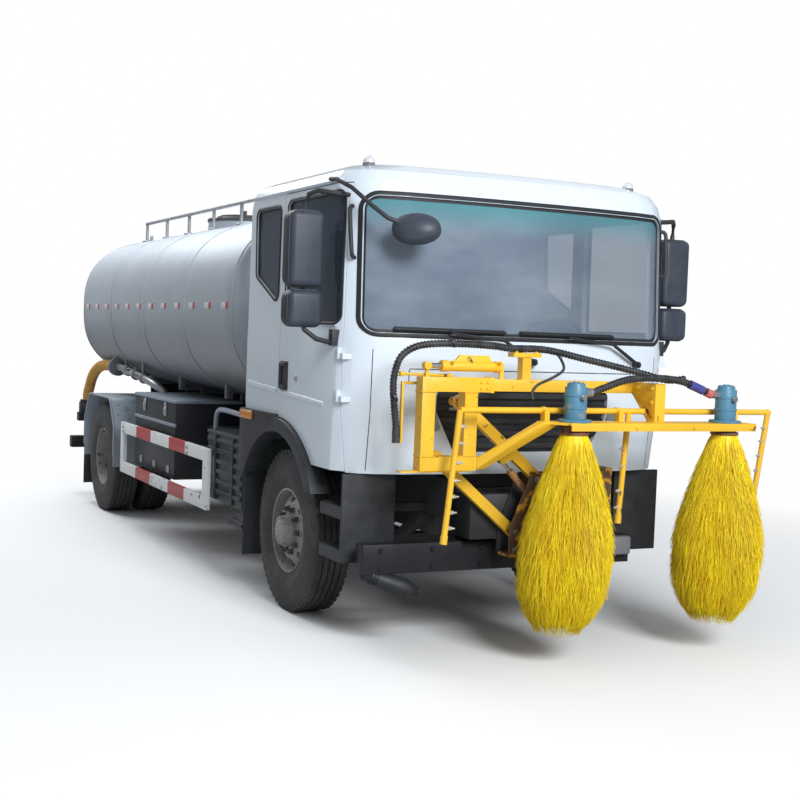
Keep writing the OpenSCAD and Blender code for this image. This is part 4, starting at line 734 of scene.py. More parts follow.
black_plastic = worn("black_plastic", ((0.02, 0.022, 0.026), (0.045, 0.048, 0.055)), 0.4, 0.3, 9, 5, 0.3)
black_plastic.bump(black_plastic.noise(340, 3), 0.0005, 0.4)
steel = Finish("bare_steel", (0.45, 0.46, 0.47), 0.35, slot="rail_steel", Metallic=0.9)
steel.feed("Roughness", 0.25 + steel.noise(60, 5, (1, 1, 0.2)) * 0.25)
grip_line = ((0.958, 2.235, 0.0), (0.957, 2.25, 0.03), (0.95, 2.32, 0.036), (0.938, 2.44, 0.036),
             (0.931, 2.515, 0.03), (0.930, 2.53, 0.0))
lock_x = 0.30
lock_z = 1.514
lock_line = ((0.0, 0.010), (0.010, 0.010), (0.012, 0.007), (0.019, 0.006), (0.022, 0.002), (0.022, 0.0),
             (0.0, 0.0))
for side, word in sides:
    door = "door_" + word
    pull = bmesh.new()
    side_slab(pull, side, (0.022, 1.146, 1.43), (0.158, 1.1545, 1.612), 0.018, 3)
    side_slab(pull, side, (0.028, door_face, 1.436), (0.062, 1.168, 1.606), 0.012, 3)
    bridge_y = 1.164 if side > 0 else 1.168
    for z in (1.45, 1.592):
        side_slab(pull, side, (0.05, door_face, z - 0.012), (0.13, bridge_y, z + 0.012), 0.006)
    piece("door_pull_" + word, pull, black_plastic, door, crease=40)
    lock = bmesh.new()
    turn(lock, [(r, side * y) for r, y in lock_line], (lock_x, side * door_face, lock_z), "Y", 28)
    side_slab(lock, side, (lock_x - 0.0015, 1.159, lock_z - 0.007), (lock_x + 0.0015, 1.161, lock_z + 0.007))
    piece("door_lock_" + word, lock, steel, door)
    swage = [(x, 1.446 - 0.05 * (x + 0.588)) for x in (-0.58 + 0.06 * k for k in range(23))]
    before = [on_side(side, x, z, swage_sink) for x, z in swage if x > 0.02]
    behind = [on_side(side, x, z, swage_sink) for x, z in swage if x < -0.02]
    tube("door_swage_" + word, before, swage_radius, cab_white, door)
    tube("corner_swage_" + word, behind, swage_radius, cab_white)
    tube("grab_" + word, smooth([on_side(side, *spot) for spot in grip_line], 4), 0.0125, black_plastic)

# Cab inside
# Moulded grey dashboard and rubber floor, and two sprung seats in woven cloth,
# padded on steel pans, with a seam round each pad.
cab_trim = Finish("cab_trim", (0.12, 0.128, 0.138), 0.7)
cab_trim.bump(cab_trim.noise(420, 3), 0.0006, 0.5)
trim_cloud = cab_trim.noise(3, 4).fade(0.3, 0.7)
cab_trim.feed("Base Color", trim_cloud.mix((0.10, 0.106, 0.115), (0.15, 0.158, 0.168)))
cab_trim.feed("Roughness", 0.6 + cab_trim.noise(30, 4) * 0.25)
dress(cab_trim, "cab_floor", "dashboard", edge=0.012)
seat_cloth = Finish("seat_cloth", (0.16, 0.17, 0.19), 0.9)
weave = seat_cloth.place.add("ShaderNodeTexChecker", {}, {"Vector": seat_cloth.place, "Scale": 260.0}, out=1)
fade_out = seat_cloth.noise(7, 4)
cloth_tone = (weave * 0.5 + fade_out * 0.6).clamp()
seat_cloth.feed("Base Color", cloth_tone.mix((0.10, 0.107, 0.122), (0.22, 0.23, 0.25)))
seat_cloth.feed("Roughness", 0.8 + fade_out * 0.2)
seat_cloth.bump(weave, 0.001, 0.5)


def pad(name, low, high, crown, lean=None):
    """Stuffed pad: crowned faces, sides drawn in between the corners, a seam round its middle."""
    low, high = Vector(low), Vector(high)
    half = (high - low) / 2
    mesh = bmesh.new()
    bmesh.ops.create_cube(mesh, size=2)
    bmesh.ops.subdivide_edges(mesh, edges=mesh.edges[:], cuts=9, use_grid_fill=True)
    for v in mesh.verts:
        u = v.co.copy()
        swell = Vector([(1 - u[(k + 1) % 3] ** 2) * (1 - u[(k + 2) % 3] ** 2) for k in range(3)])
        ring = 0.985 if abs(u.z) < 0.05 and max(abs(u.x), abs(u.y)) > 0.99 else 1.0
        sink = 0.012 if abs(abs(u.y) - 0.4) < 0.11 and abs(u.z) > 0.99 else 0.0
        drawn = (ring, ring, 1)
        v.co = Vector([half[k] * u[k] * (0.90 + 0.10 * swell[k] ** 0.5) * drawn[k] for k in range(3)])
        v.co.z += (1 if u.z > 0 else -1) * (swell.z * crown - sink * swell.z)
    bmesh.ops.smooth_vert(
        mesh, verts=mesh.verts[:], factor=0.5, use_axis_x=True, use_axis_y=True, use_axis_z=True
    )
    if lean is not None:
        bmesh.ops.transform(mesh, matrix=lean.to_4x4(), verts=mesh.verts[:])
    bmesh.ops.translate(mesh, vec=(low + high) / 2, verts=mesh.verts[:])
    thing = piece(name, mesh, seat_cloth, crease=70)
    round_off = thing.modifiers.new("round", "SUBSURF")
    round_off.levels = round_off.render_levels = 1


back_lean = Matrix.Rotation(math.radians(-8), 3, "Y") @ Matrix.Rotation(math.radians(90), 3, "Y")
seat_y = 0.48
for side, word in sides:
    y = side * seat_y
    pad("seat_cushion_" + word, (-0.42, y - 0.26, 1.605), (0.15, y + 0.26, 1.735), 0.012)
    pad("seat_back_" + word, (-0.74, y - 0.25, 1.93), (-0.10, y + 0.25, 2.055), 0.012, back_lean)
    pad("seat_head_" + word, (-0.58, y - 0.14, 2.355), (-0.38, y + 0.14, 2.45), 0.008, back_lean)
    pan = bmesh.new()
    slab(pan, (-0.38, y - 0.24, 1.32), (0.12, y + 0.24, 1.60), 0.02)
    slab(pan, (-0.41, y - 0.25, 1.585), (0.14, y + 0.25, 1.607), 0.01)
    for dy in (-0.06, 0.06):
        rod(pan, (-0.50, y + dy, 2.26), (-0.52, y + dy, 2.36), 0.008, sides=10)
    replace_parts(piece("seat_pan_" + word, pan, cab_trim), "seats")

# Grille and lamps
# A black moulded grille with a bright strip across it, smoked ribbed headlamps, and red and
# amber lamps behind; amber marker lamps in black bezels are screwed to the flares.
dress(black_plastic, "grille", "front_fenders", edge=0.005)
strip_z = 1.385
strip_lift = 0.004
strip_line = [on_front(-0.52 + 0.08 * k, strip_z, strip_lift) for k in range(14)]
strip = bmesh.new()
for start, end in zip(strip_line, strip_line[1:]):
    rod(strip, start, end, 0.012, sides=10)
piece("grille_strip", strip, steel, crease=50)
lamp_lens = Finish("lamp_lens", (0.5, 0.53, 0.55), 0.12, Coat_Weight=0.6)
ribs = lamp_lens.wave("Y", 28.0)
tail = lamp_lens.axis("Y").size().between(0.72, 0.84).mix((0.42, 0.012, 0.01), (0.6, 0.18, 0.01))
head = ribs.mix((0.16, 0.175, 0.185), (0.36, 0.38, 0.40))
lamp_lens.feed("Base Color", (lamp_lens.axis("X") < 0).mix(head, tail))
lamp_lens.feed("Roughness", 0.08 + lamp_lens.noise(20, 4) * 0.14)
lamp_lens.bump(ribs, 0.002, 0.5)
dress(lamp_lens, "lamps")
lens_amber = Finish("lens_amber", (0.75, 0.24, 0.008), 0.2, slot="lamp_lens", Coat_Weight=0.5)
lens_rib = lens_amber.wave("X", 22.0)
lens_amber.feed("Base Color", lens_rib.mix((0.62, 0.16, 0.006), (0.85, 0.32, 0.012)))
lens_amber.bump(lens_rib, 0.002, 0.6)
for side, word in sides:
    marker = bmesh.new()
    side_slab(marker, side, (-0.625, 1.172, 1.203), (-0.40, 1.194, 1.262), 0.012, 3)
    piece("marker_lamp_" + word, marker, lens_amber, crease=40)
    bezel = bmesh.new()
    side_slab(bezel, side, (-0.635, 1.170, 1.196), (-0.39, 1.180, 1.268), 0.008)
    piece("marker_bezel_" + word, bezel, black_plastic, crease=40)

# Fenders and steps
# Moulded black flares over the front wheels with rubber flaps behind and two-tread steps
# before them, ribbed against slipping.
treads = bmesh.new()
for side in (-1, 1):
    for z in (0.55, 0.80):
        for k in range(7):
            x = 0.675 + 0.04 * k
            side_slab(treads, side, (x, 0.83, z - 0.003), (x + 0.016, 1.10, z + 0.006), 0.003)
    for y in (0.80, 0.90, 1.0, 1.10):
        bolt(treads, (-0.643, side * y, 0.80), (1, 0, 0), 0.013)
piece("step_treads", treads, black_plastic)

# Mirrors
# Rounded black shells on a bent tube that is bolted to the door, with flat glass behind,
# and a spoon-shaped kerb mirror on an arm from the roof.
dress(black_plastic, "kerb_mirror", "mirror_left", "mirror_right", edge=0.004)
mirror_glass = Finish("mirror_glass", (0.62, 0.66, 0.7), 0.03, slot="window_glass", Metallic=1.0)
mirror_glass.feed("Roughness", 0.02 + mirror_glass.noise(14, 4) * 0.08)
mirror_shell = worn("mirror_shell", ((0.03, 0.038, 0.056), (0.06, 0.07, 0.095)), 0.36, 0.25, 6, 5, 0.3,
                    slot="black_plastic")
mirror_shell.bump(mirror_shell.noise(420, 2), 0.0005, 0.35)
mirror_heads = ((1.828, 2.045), (2.057, 2.50))
mirror_ys = (1.204, 1.416)
for side, word in sides:
    shell = bmesh.new()
    glass = bmesh.new()
    for foot, top in mirror_heads:
        near, far = mirror_ys
        side_slab(shell, side, (0.758, near, foot + 0.004), (0.838, far, top - 0.004), 0.055, 5)
        for y in mirror_ys:
            side_slab(shell, side, (0.709, y - 0.004, foot + 0.05), (0.76, y + 0.004, top - 0.05), 0.003)
        low, high = (0.7115, near + 0.018, foot + 0.02), (0.7165, far - 0.018, top - 0.02)
        side_slab(glass, side, low, high, 0.02, 3)
    for z in (1.75, 1.80):
        bolt(shell, (0.879, side * 1.175, z), (0, side, 0), 0.009)
    piece("mirror_shell_" + word, shell, mirror_shell, "door_" + word, crease=60)
    piece("mirror_glass_" + word, glass, mirror_glass, "door_" + word, crease=40)
spoon_turn = Matrix.Rotation(math.radians(-35), 4, "Z") @ Matrix.Rotation(math.radians(60), 4, "Y")
spoon_place = Matrix.Translation((1.25, -0.835, 2.40)) @ spoon_turn
spoon = bmesh.new()
bmesh.ops.create_uvsphere(spoon, u_segments=40, v_segments=20, radius=1)
bmesh.ops.bisect_plane(spoon, geom=spoon.verts[:] + spoon.edges[:] + spoon.faces[:], plane_co=(0, 0, 0),
                       plane_no=(0, 0, -1), clear_outer=True)
bmesh.ops.scale(spoon, vec=(0.094, 0.139, 0.072), verts=spoon.verts)
rim = [e for e in spoon.edges if e.is_boundary]
lip = bmesh.ops.extrude_edge_only(spoon, edges=rim)["geom"]
lip = [v for v in lip if isinstance(v, bmesh.types.BMVert)]
bmesh.ops.translate(spoon, vec=(0, 0, -0.024), verts=lip)
bmesh.ops.transform(spoon, matrix=spoon_place, verts=spoon.verts)
piece("kerb_shell", spoon, mirror_shell, crease=50)
spoon_glass = bmesh.new()
spoon_line = [(0.0, -0.034), (0.05, -0.032), (0.09, -0.027), (0.118, -0.0225), (0.12, -0.021), (0.0, -0.021)]
turn(spoon_glass, spoon_line, (0, 0, 0), "Z", 40)
bmesh.ops.scale(spoon_glass, vec=(0.68, 1, 1), verts=spoon_glass.verts)
bmesh.ops.transform(spoon_glass, matrix=spoon_place, verts=spoon_glass.verts)
piece("kerb_glass", spoon_glass, mirror_glass, crease=40)

# Beacons
# Two small clear domes in grey sockets on the roof's front corners.
beacon_clear = Finish("beacon_clear", (0.72, 0.74, 0.79), 0.15, slot="lamp_lens", Coat_Weight=0.5)
socket_mask = beacon_clear.axis("Z") < 2.806
beacon_rings = beacon_clear.wave("Z", 70.0)
dome_tone = beacon_rings.mix((0.58, 0.6, 0.68), (0.78, 0.8, 0.85))
beacon_clear.feed("Base Color", socket_mask.mix(dome_tone, (0.17, 0.17, 0.18)))
beacon_clear.feed("Roughness", 0.12 + socket_mask * 0.4)
dome_line = [(0.0, 2.73), (0.037, 2.73), (0.037, 2.803), (0.034, 2.806), (0.0335, 2.818), (0.031, 2.828),
             (0.025, 2.837), (0.016, 2.843), (0.007, 2.8455), (0.0, 2.846)]
domes = bmesh.new()
for side in (-1, 1):
    turn(domes, dome_line, (0.775, side * 0.925, 0), "Z", 32)
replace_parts(piece("beacon_domes", domes, beacon_clear, crease=40), "beacons")

# Front bar
# A thick black channel bumper with rounded edges on two rail brackets; a black washing
# nozzle hangs under its right end.
bar_black = paint("bar_black", (0.012, 0.013, 0.017), 0.38, dust=0.05, dust_top=1.1, chips=0.04,
                  Specular_IOR_Level=0.3)
dress(bar_black, "front_bar", edge=0.008)
bar_face = 1.185
bar_bits = bmesh.new()
for y in (-0.95, -0.62, -0.3, 0.3, 0.62):
    for z in (0.48, 0.58):
        bolt(bar_bits, (bar_face, y, z), (1, 0, 0), 0.014)
nozzle_from = Vector((1.14, -1.02, 0.44))
nozzle_run = (Vector((1.2, -0.755, 0.345)) - nozzle_from).normalized()
for reach, radius in ((0.03, 0.045), (0.05, 0.043)):
    ring_from = nozzle_from + nozzle_run * reach
    rod(bar_bits, ring_from, ring_from + nozzle_run * 0.012, radius, sides=28)
piece("bar_fixings", bar_bits, bar_black)
boot_shares = (0.72, 0.78, 0.84, 0.89, 0.93, 0.96, 0.98, 1.0, 1.0, 0.98, 0.93, 0.83, 0.65, 0.3)
boot_line = [nozzle_from + nozzle_run * (0.07 + 0.019 * k) for k in range(len(boot_shares))]
tube("nozzle_boot", boot_line, 0.058, rubber_black, round_steps=6, shares=boot_shares)
box_grey = paint("box_grey", (0.17, 0.175, 0.19), 0.5, slot="box_dark", dust=0.35, dust_top=1.0)
bar_box = bmesh.new()
slab(bar_box, (1.186, 0.60, 0.50), (1.245, 0.735, 0.612), 0.012)
slab(bar_box, (1.10, 0.50, 0.345), (1.20, 0.63, 0.448), 0.012)
piece("bar_boxes", bar_box, box_grey)

# Tank
# A rolled and welded steel water tank with dished heads on saddles, sprayed metallic grey,
# with ridged ring seams, reflecting tape along its waist, streaks of dirt down its sides and
# painted shade that darkens its lower half.
tank_grey = paint("tank_grey", (0.50, 0.545, 0.60), 0.5, dust=0.2, dust_top=1.8, mottle=0.05, Metallic=0.35)
streaks = tank_grey.noise(3.2, 6, (1, 1, 0.12)).fade(0.52, 0.8)
# From its waist down the tank darkens as painted shade, on top of the dirt streaks.
tank_underside_shade = tank_grey.axis("Z").fade(2.0, 1.3)
tank_foot = tank_grey.axis("Z") < 1.2
tank_dirt_and_shade = (streaks * 0.3 + tank_underside_shade * 0.9).clamp().mix(tank_grey.colour, (0.17, 0.175, 0.19))
tank_grey.feed("Base Color", tank_foot.mix(tank_dirt_and_shade, (0.03, 0.031, 0.034)))
dress(tank_grey, "tank", "manhole_neck")
tank_half = 1.15
tank_rise = 0.74
tank_flat = 0.728
tank_axis_z = 1.965
tank_power = 2 / 2.7


def tank_edge(angle, x, lift=0.0):
    """Point of the tank's cross section at an angle from its left side."""
    c, s = math.cos(angle), math.sin(angle)
    y = (tank_half + lift) * math.copysign(abs(c) ** tank_power, c)
    z = min((tank_rise + lift) * math.copysign(abs(s) ** tank_power, s), tank_flat + lift)
    return Vector((x, y, tank_axis_z + z))


for k, x in enumerate((-0.985, -2.15, -3.36, -4.56, -5.735)):
    seam = [tank_edge(math.tau * i / 120, x, 0.001) for i in range(120)]
    tube("tank_seam_%d" % k, seam, 0.0055, tank_grey, round_steps=0, closed=True)
tape_white = paint("tape_white", (0.74, 0.75, 0.76), 0.3, slot="tank_grey", dust=0.15, dust_top=2.4)
tape_red = paint("tape_red", (0.52, 0.035, 0.03), 0.3, slot="tank_grey", dust=0.15, dust_top=2.4)
tape_rear = -5.62
tape_pitch = 0.4
for word, finish, shift, length in (("white", tape_white, 0.0, 0.1), ("red", tape_red, 0.102, 0.05)):
    tape = bmesh.new()
    for side in (-1, 1):
        for k in range(12):
            x = tape_rear + tape_pitch * k + shift
            low, high = (x, tank_half - 0.003, 1.943), (x + length, tank_half + 0.0015, 1.99)
            side_slab(tape, side, low, high, 0.0015)
    piece("tank_tape_" + word, tape, finish)
lugs = bmesh.new()
for side in (-1, 1):
    for x in (-4.58, -3.33, -2.05):
        side_slab(lugs, side, (x, 0.77, 1.245), (x + 0.05, 0.83, 1.36), 0.006)
        rod(lugs, (x - 0.004, side * 0.80, 1.275), (x + 0.054, side * 0.80, 1.275), 0.016)
    for x in (-1.35, -5.45):
        side_slab(lugs, side, (x, 0.542, 2.655), (x + 0.09, 0.558, 2.72), 0.006)
        rod(lugs, (x + 0.045, side * 0.55 - 0.012, 2.695), (x + 0.045, side * 0.55 + 0.012, 2.695), 0.022)
piece("tank_lugs", lugs, tank_grey)

# Suction line
# A steel pipe with a lever valve from the tank's fitting to the pump box, and a ribbed
# ochre hose that is stowed from the fitting to its block on the bumper.
line_route = [(-4.9, -0.985, 1.38), (-4.72, -0.985, 1.375), (-4.3, -0.985, 1.345), (-3.85, -0.98, 1.305),
              (-3.68, -0.95, 1.27), (-3.60, -0.90, 1.22), (-3.58, -0.88, 1.185)]
tube("suction_pipe", smooth(line_route, 6), 0.036, steel, round_steps=4)
valve_y = -0.984
valve = bmesh.new()
for x, z, radius in ((-4.50, 1.36, 0.052), (-4.20, 1.336, 0.052), (-3.92, 1.311, 0.046)):
    rod(valve, (x - 0.014, valve_y, z), (x + 0.014, valve_y, z - 0.002), radius, sides=28)
rod(valve, (-4.35, valve_y, 1.348), (-4.35, -1.06, 1.352), 0.03, sides=20)
slab(valve, (-4.37, -1.075, 1.335), (-4.02, -1.06, 1.365), 0.006)
rod(valve, (-4.12, -1.068, 1.35), (-3.99, -1.068, 1.35), 0.017, 0.014)
for x in (-4.62, -3.98):
    slab(valve, (x, -0.99, 1.34), (x + 0.012, -0.96, 1.475), 0.003)
piece("suction_valve", valve, steel)
hose_ochre = worn("hose_ochre", ((0.72, 0.41, 0.075), (0.42, 0.21, 0.04)), 0.4, 0.3, 7, 6)
suction_from = Vector((-4.9553, -0.985, 1.38))
suction_to = Vector((-6.055, -1.02, 0.9603))
suction_fall = ((0.05, 1), (0.17, 1), (0.36, 1), (0.55, 0.95), (0.72, 0.83), (0.85, 0.64), (0.94, 0.39),
                (1, 0.18))
suction_line = [suction_from]
for way, height in suction_fall:
    suction_line.append(Vector((
        suction_from.x + way * (suction_to.x - suction_from.x),
        suction_from.y + (way - 0.05) / 0.95 * (suction_to.y - suction_from.y),
        suction_to.z + height * (suction_from.z - suction_to.z))))
suction = tube("suction_ribbed", smooth(suction_line + [suction_to], 24), 0.055, hose_ochre, round_steps=4,
               shares=(0.88, 0.97, 1.0, 0.97))
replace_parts(suction, "suction_hose")

# Rear bumper
# A folded black under-run bar and lamp bar on frame hangers, with a rubber block
# that holds the stowed hose.
dress(bar_black, "rear_bumper", edge=0.006)
stern_x = -6.11
stern = bmesh.new()
for y in (-1.05, -0.72, -0.33, 0.33, 0.72, 1.05):
    for z in (0.51, 0.57):
        bolt(stern, (stern_x, y, z), (-1, 0, 0), 0.013)
for y, z in ((-1.0, 0.78), (-0.6, 0.785), (0.6, 0.785), (1.0, 0.78)):
    bolt(stern, (stern_x, y, z), (-1, 0, 0), 0.012)
cuff_line = [(0.058, 0.0), (0.075, 0.0), (0.078, 0.004), (0.078, 0.026), (0.072, 0.03), (0.058, 0.03),
             (0.058, 0.0)]
turn(stern, cuff_line, (suction_to.x, suction_to.y, 0.955), "Z", 36)
piece("bumper_fixings", stern, bar_black)

# Top rails
# Bent steel tube on short posts along both sides of the tank's top, each post on a welded pad.
rail_steel = worn("rail_steel", ((0.52, 0.545, 0.57), (0.36, 0.37, 0.38)), 0.32, 0.25, 12, 6, Metallic=0.6)
dress(rail_steel, "top_rails")
rail_y = 0.52
rail_z = 2.86
post_rear = -5.693
post_pitch = 0.7552
pad_line = [(0.0, 2.66), (0.045, 2.66), (0.045, 2.681), (0.04, 2.684), (0.02, 2.690), (0.0, 2.690)]
pads = bmesh.new()
for side in (-1, 1):
    for k in range(6):
        turn(pads, pad_line, (post_rear + post_pitch * k, side * rail_y, 0), "Z", 20)
    for x in (-1.9, -5.71):
        bmesh.ops.create_uvsphere(pads, u_segments=16, v_segments=8, radius=0.0175,
                                  matrix=Matrix.Translation((x, side * rail_y, rail_z)))
piece("rail_pads", pads, rail_steel, crease=40)

# Manhole
# A dark hinged lid with a domed crown on a welded neck, held down by eight swing bolts.
lid_grey = paint("lid_grey", (0.07, 0.074, 0.08), 0.5, dust=0.0, chips=0.15)
dress(lid_grey, "manhole_lid", edge=0.006)
manhole_x = -4.1
lid_bits = bmesh.new()
for foot, _ in around(8, 0.315, (manhole_x, 0, 2.8295), start=0.5):
    bolt(lid_bits, foot, (0, 0, 1), 0.017)
crown_line = [(0.225, 2.828), (0.258, 2.828), (0.256, 2.834), (0.238, 2.842), (0.2285, 2.858), (0.225, 2.858),
              (0.225, 2.828)]
turn(lid_bits, crown_line, (manhole_x, 0, 0), "Z", 48)
piece("lid_bolts", lid_bits, lid_grey, "manhole_lid")
neck_line = [place for place, _ in around(64, 0.346, (manhole_x, 0, 2.695))]
tube("neck_bead", neck_line, 0.009, tank_grey, round_steps=1, closed=True)

# Rear fenders
# Folded sheet wings over the twin wheels in light blue grey, with a rolled edge,
# rubber flaps behind and a row of bolts to their stays.
fender_grey = paint("fender_grey", (0.30, 0.36, 0.425), 0.4, dust=0.4, dust_top=1.3, chips=0.12)
flap_mask = (fender_grey.axis("Z") < 0.475) * (fender_grey.axis("X") < -5.25)
fender_grey.feed("Base Color", flap_mask.mix(fender_grey.colour, (0.022, 0.023, 0.025)))
dress(fender_grey, "rear_fenders", edge=0.003)
wing_reach = 0.612
wing_corners = [(-wing_reach, -wing_reach), (wing_reach, -wing_reach), (wing_reach, 0.33), (0.43, 0.59),
                (-0.43, 0.59), (-wing_reach, 0.33)]
wing_line = [p for p in fill(rounded(wing_corners, 0.09), 0.12) if p.y > -0.035]
wing_line.sort(key=lambda p: math.atan2(p.y + 0.1, p.x))
roll_in = 0.993
for side, word in sides:
    for edge_word, y in (("outer", 1.208), ("inner", 0.572)):
        rolled = [Vector((rear_axle_x + p.x * roll_in, side * y, axle_height + p.y * roll_in))
                  for p in wing_line]
        tube("wing_edge_%s_%s" % (edge_word, word), rolled, 0.010, fender_grey, round_steps=1)
wing_bolts = bmesh.new()
for side in (-1, 1):
    for y in (0.62, 0.72, 0.9, 1.08, 1.17):
        bolt(wing_bolts, (rear_axle_x - wing_reach, side * y, 0.51), (-1, 0, 0), 0.011)
    for x in (-4.73, -4.67):
        for y in (0.62, 0.70):
            bolt(wing_bolts, (x, side * y, 1.11), (0, 0, 1), 0.011)
piece("wing_bolts", wing_bolts, steel)

# Side guards
# Flat bars welded to a frame, white with two red blocks on each rail, bolted to arms on the chassis.
guard_white = paint("guard_white", (0.86, 0.88, 0.885), 0.4, dust=0.2, dust_top=1.2, chips=0.1)
along = guard_white.axis("X")
block = (along.between(-3.257, -2.79) + along.between(-2.245, -1.80)) * (guard_white.axis("Y").size() > 1.179)
guard_arm = guard_white.axis("Y").size() < 1.177
guard_tone = block.clamp().mix(guard_white.colour, guard_white.soil.mix((0.50, 0.045, 0.04), road_dust))
guard_white.feed("Base Color", guard_arm.mix(guard_tone, (0.04, 0.041, 0.044)))
dress(guard_white, "side_guards", edge=0.004)
guard_face = 1.215
guard_bolts = bmesh.new()
for side in (-1, 1):
    for x in (-3.695, -1.74):
        for z in (0.845, 0.89):
            bolt(guard_bolts, (x, side * guard_face, z), (0, side, 0), 0.012)
piece("guard_bolts", guard_bolts, steel)

# Chassis boxes
# A dark tool and pump box, a ribbed battery box and a strapped fuel tank on frame brackets,
# with pressed lids, over-centre latches and a bent guard pipe.
box_dark = paint("box_dark", (0.022, 0.026, 0.033), 0.45, dust=0.12, dust_top=1.25, mottle=0.15)
battery_mask = box_dark.axis("X").between(-1.71, -0.89) * (box_dark.axis("Y") < 0)
battery_tone = box_dark.soil.mix((0.045, 0.065, 0.065), road_dust)
box_dark.feed("Base Color", battery_mask.mix(box_dark.colour, battery_tone))
dress(box_dark, "chassis_boxes", edge=0.008)
lids = bmesh.new()
slab(lids, (-3.662, -1.132, 1.178), (-2.388, -0.55, 1.203), 0.006)
slab(lids, (-3.66, -1.130, 0.985), (-2.39, -1.112, 1.012), 0.004)
slab(lids, (-1.362, 0.47, 0.995), (-0.938, 1.072, 1.02), 0.008)
piece("box_lids", lids, fender_grey)
box_face = -1.118
handle_xs = (-3.12, -2.92)
handle_y = box_face - 0.032
handle_z = 0.86
fittings = bmesh.new()
for x in (-3.35, -2.70):
    slab(fittings, (x, box_face - 0.018, 1.06), (x + 0.05, box_face, 1.17), 0.005)
    slab(fittings, (x + 0.01, box_face - 0.025, 1.08), (x + 0.04, box_face - 0.012, 1.13), 0.004)
for x in (-3.45, -3.02, -2.6):
    slab(fittings, (x, box_face - 0.013, 0.60), (x + 0.07, box_face, 0.66), 0.004)
rod(fittings, (handle_xs[0], handle_y, handle_z), (handle_xs[1], handle_y, handle_z), 0.009, sides=10)
for x in handle_xs:
    rod(fittings, (x, box_face, handle_z), (x, handle_y - 0.005, handle_z), 0.009, sides=10)
piece("box_latches", fittings, steel)
rib_foot = 0.575
rib_pitch = 0.075
ribs_box = bmesh.new()
for k in range(6):
    z = rib_foot + rib_pitch * k
    slab(ribs_box, (-1.69, -1.076, z), (-0.91, -1.054, z + 0.035), 0.009)
for x in (-1.5, -1.1):
    slab(ribs_box, (x, -1.083, 0.53), (x + 0.035, -1.055, 1.015), 0.006)
slab(ribs_box, (-1.712, -1.072, 1.012), (-0.888, -0.44, 1.034), 0.008)
slab(ribs_box, (-2.36, -0.872, 0.985), (-1.78, -0.44, 1.012), 0.006)
piece("battery_ribs", ribs_box, box_dark)
stay_y = -1.12
stay_z = 0.445
flap_stay = bmesh.new()
for start, end, radius, flats in ((-0.915, -0.652, 0.024, 20), (-0.93, -0.91, 0.028, 6)):
    rod(flap_stay, (start, stay_y, stay_z), (end, stay_y, stay_z), radius, sides=flats)
piece("flap_stay", flap_stay, bar_black)
guard_route = [(-1.62, -1.03, 1.02), (-1.62, -1.03, 1.10), (-1.58, -1.035, 1.165), (-1.48, -1.04, 1.195),
               (-1.20, -1.06, 1.20), (-0.90, -1.085, 1.20), (-0.655, -1.095, 1.20)]
tube("guard_pipe", smooth(guard_route, 6), 0.019, fender_grey, round_steps=3)
strap_line = [(0.2695, 0.0), (0.2745, 0.0), (0.2755, 0.003), (0.2755, 0.067), (0.2745, 0.07), (0.2695, 0.07),
              (0.2695, 0.0)]
filler_line = [(0.0, 0.05), (0.042, 0.05), (0.048, 0.044), (0.048, 0.012), (0.058, 0.008), (0.058, -0.03),
               (0.0, -0.03)]
fuel_y = 0.80
fuel_z = 0.735
straps = bmesh.new()
for x in (-3.06, -2.24):
    turn(straps, strap_line, (x, fuel_y, fuel_z), "X", 56)
    slab(straps, (x + 0.012, 1.06, 0.70), (x + 0.058, 1.09, 0.77), 0.006)
turn(straps, filler_line, (-2.0, 0.88, 0.99), "Z", 28)
piece("fuel_straps", straps, steel)

# Brush frame
# Welded square tube and plate in machine yellow: a base on the front bar, two swinging links,
# a carriage and a head that slides in it, with welds, pins, wear and rust at the joints. The base
# is a darker, browner copy of the yellow as painted shade, with heavy chips for wear, and its faces
# behind the front plate and on its right are painted near black as painted shade.
boom_yellow = paint("boom_yellow", (0.86, 0.50, 0.03), 0.38, dust=0.1, dust_top=1.2, mottle=0.1, chips=0.11)
dress(boom_yellow, "link_upper", "link_lower", "boom_carriage", "boom_head", edge=0.004)
# The base's darker, browner yellow is partly painted shade; its chips are wear.
base_yellow = paint("base_yellow", (0.62, 0.31, 0.02), 0.5, dust=0.2, dust_top=1.2, mottle=0.15, chips=0.36)
# Faces behind the front plate, and the part of the plate on the truck's right, are painted near black as
# painted shade.
behind = (base_yellow.axis("X") < 1.262) + (base_yellow.axis("X") < 1.3) * (base_yellow.axis("Y") < -0.1)
base_yellow.feed("Base Color", behind.clamp().mix(base_yellow.colour, (0.02, 0.021, 0.024)))
dress(base_yellow, "boom_base", edge=0.004)
pins = bmesh.new()
washer_x = (1.420, 1.428)
pin_end = 1.440
split_x = (washer_x[1] + pin_end) / 2
for y, z in ((-0.01, 0.965), (-0.125, 0.645), (-0.095, 0.89)):
    rod(pins, (washer_x[0], y, z), (washer_x[1], y, z), 0.027, sides=24)
    rod(pins, (washer_x[1], y, z), (pin_end, y, z), 0.019, 0.015, 20)
    rod(pins, (split_x, y - 0.03, z - 0.008), (split_x, y + 0.03, z + 0.008), 0.0035, sides=8)
for y, z in ((-0.21, 0.60), (0.02, 0.60), (0.02, 0.99), (-0.21, 0.70), (-0.08, 1.0)):
    bolt(pins, (1.422, y, z), (1, 0, 0), 0.014)
piece("base_pins", pins, steel)


def bead(name, centre, half_x, half_y, body):
    """Weld bead round the foot of a square tube or plate box."""
    corners = [Vector(centre) + Vector((dx * half_x, dy * half_y, 0))
               for dx, dy in ((-1, -1), (1, -1), (1, 1), (-1, 1))]
    line = [a.lerp(b, i / 6) for a, b in zip(corners, corners[1:] + corners[:1]) for i in range(6)]
    tube(name, line, 0.005, boom_yellow, body, round_steps=0, shares=(1.0, 0.86, 1.1), closed=True)


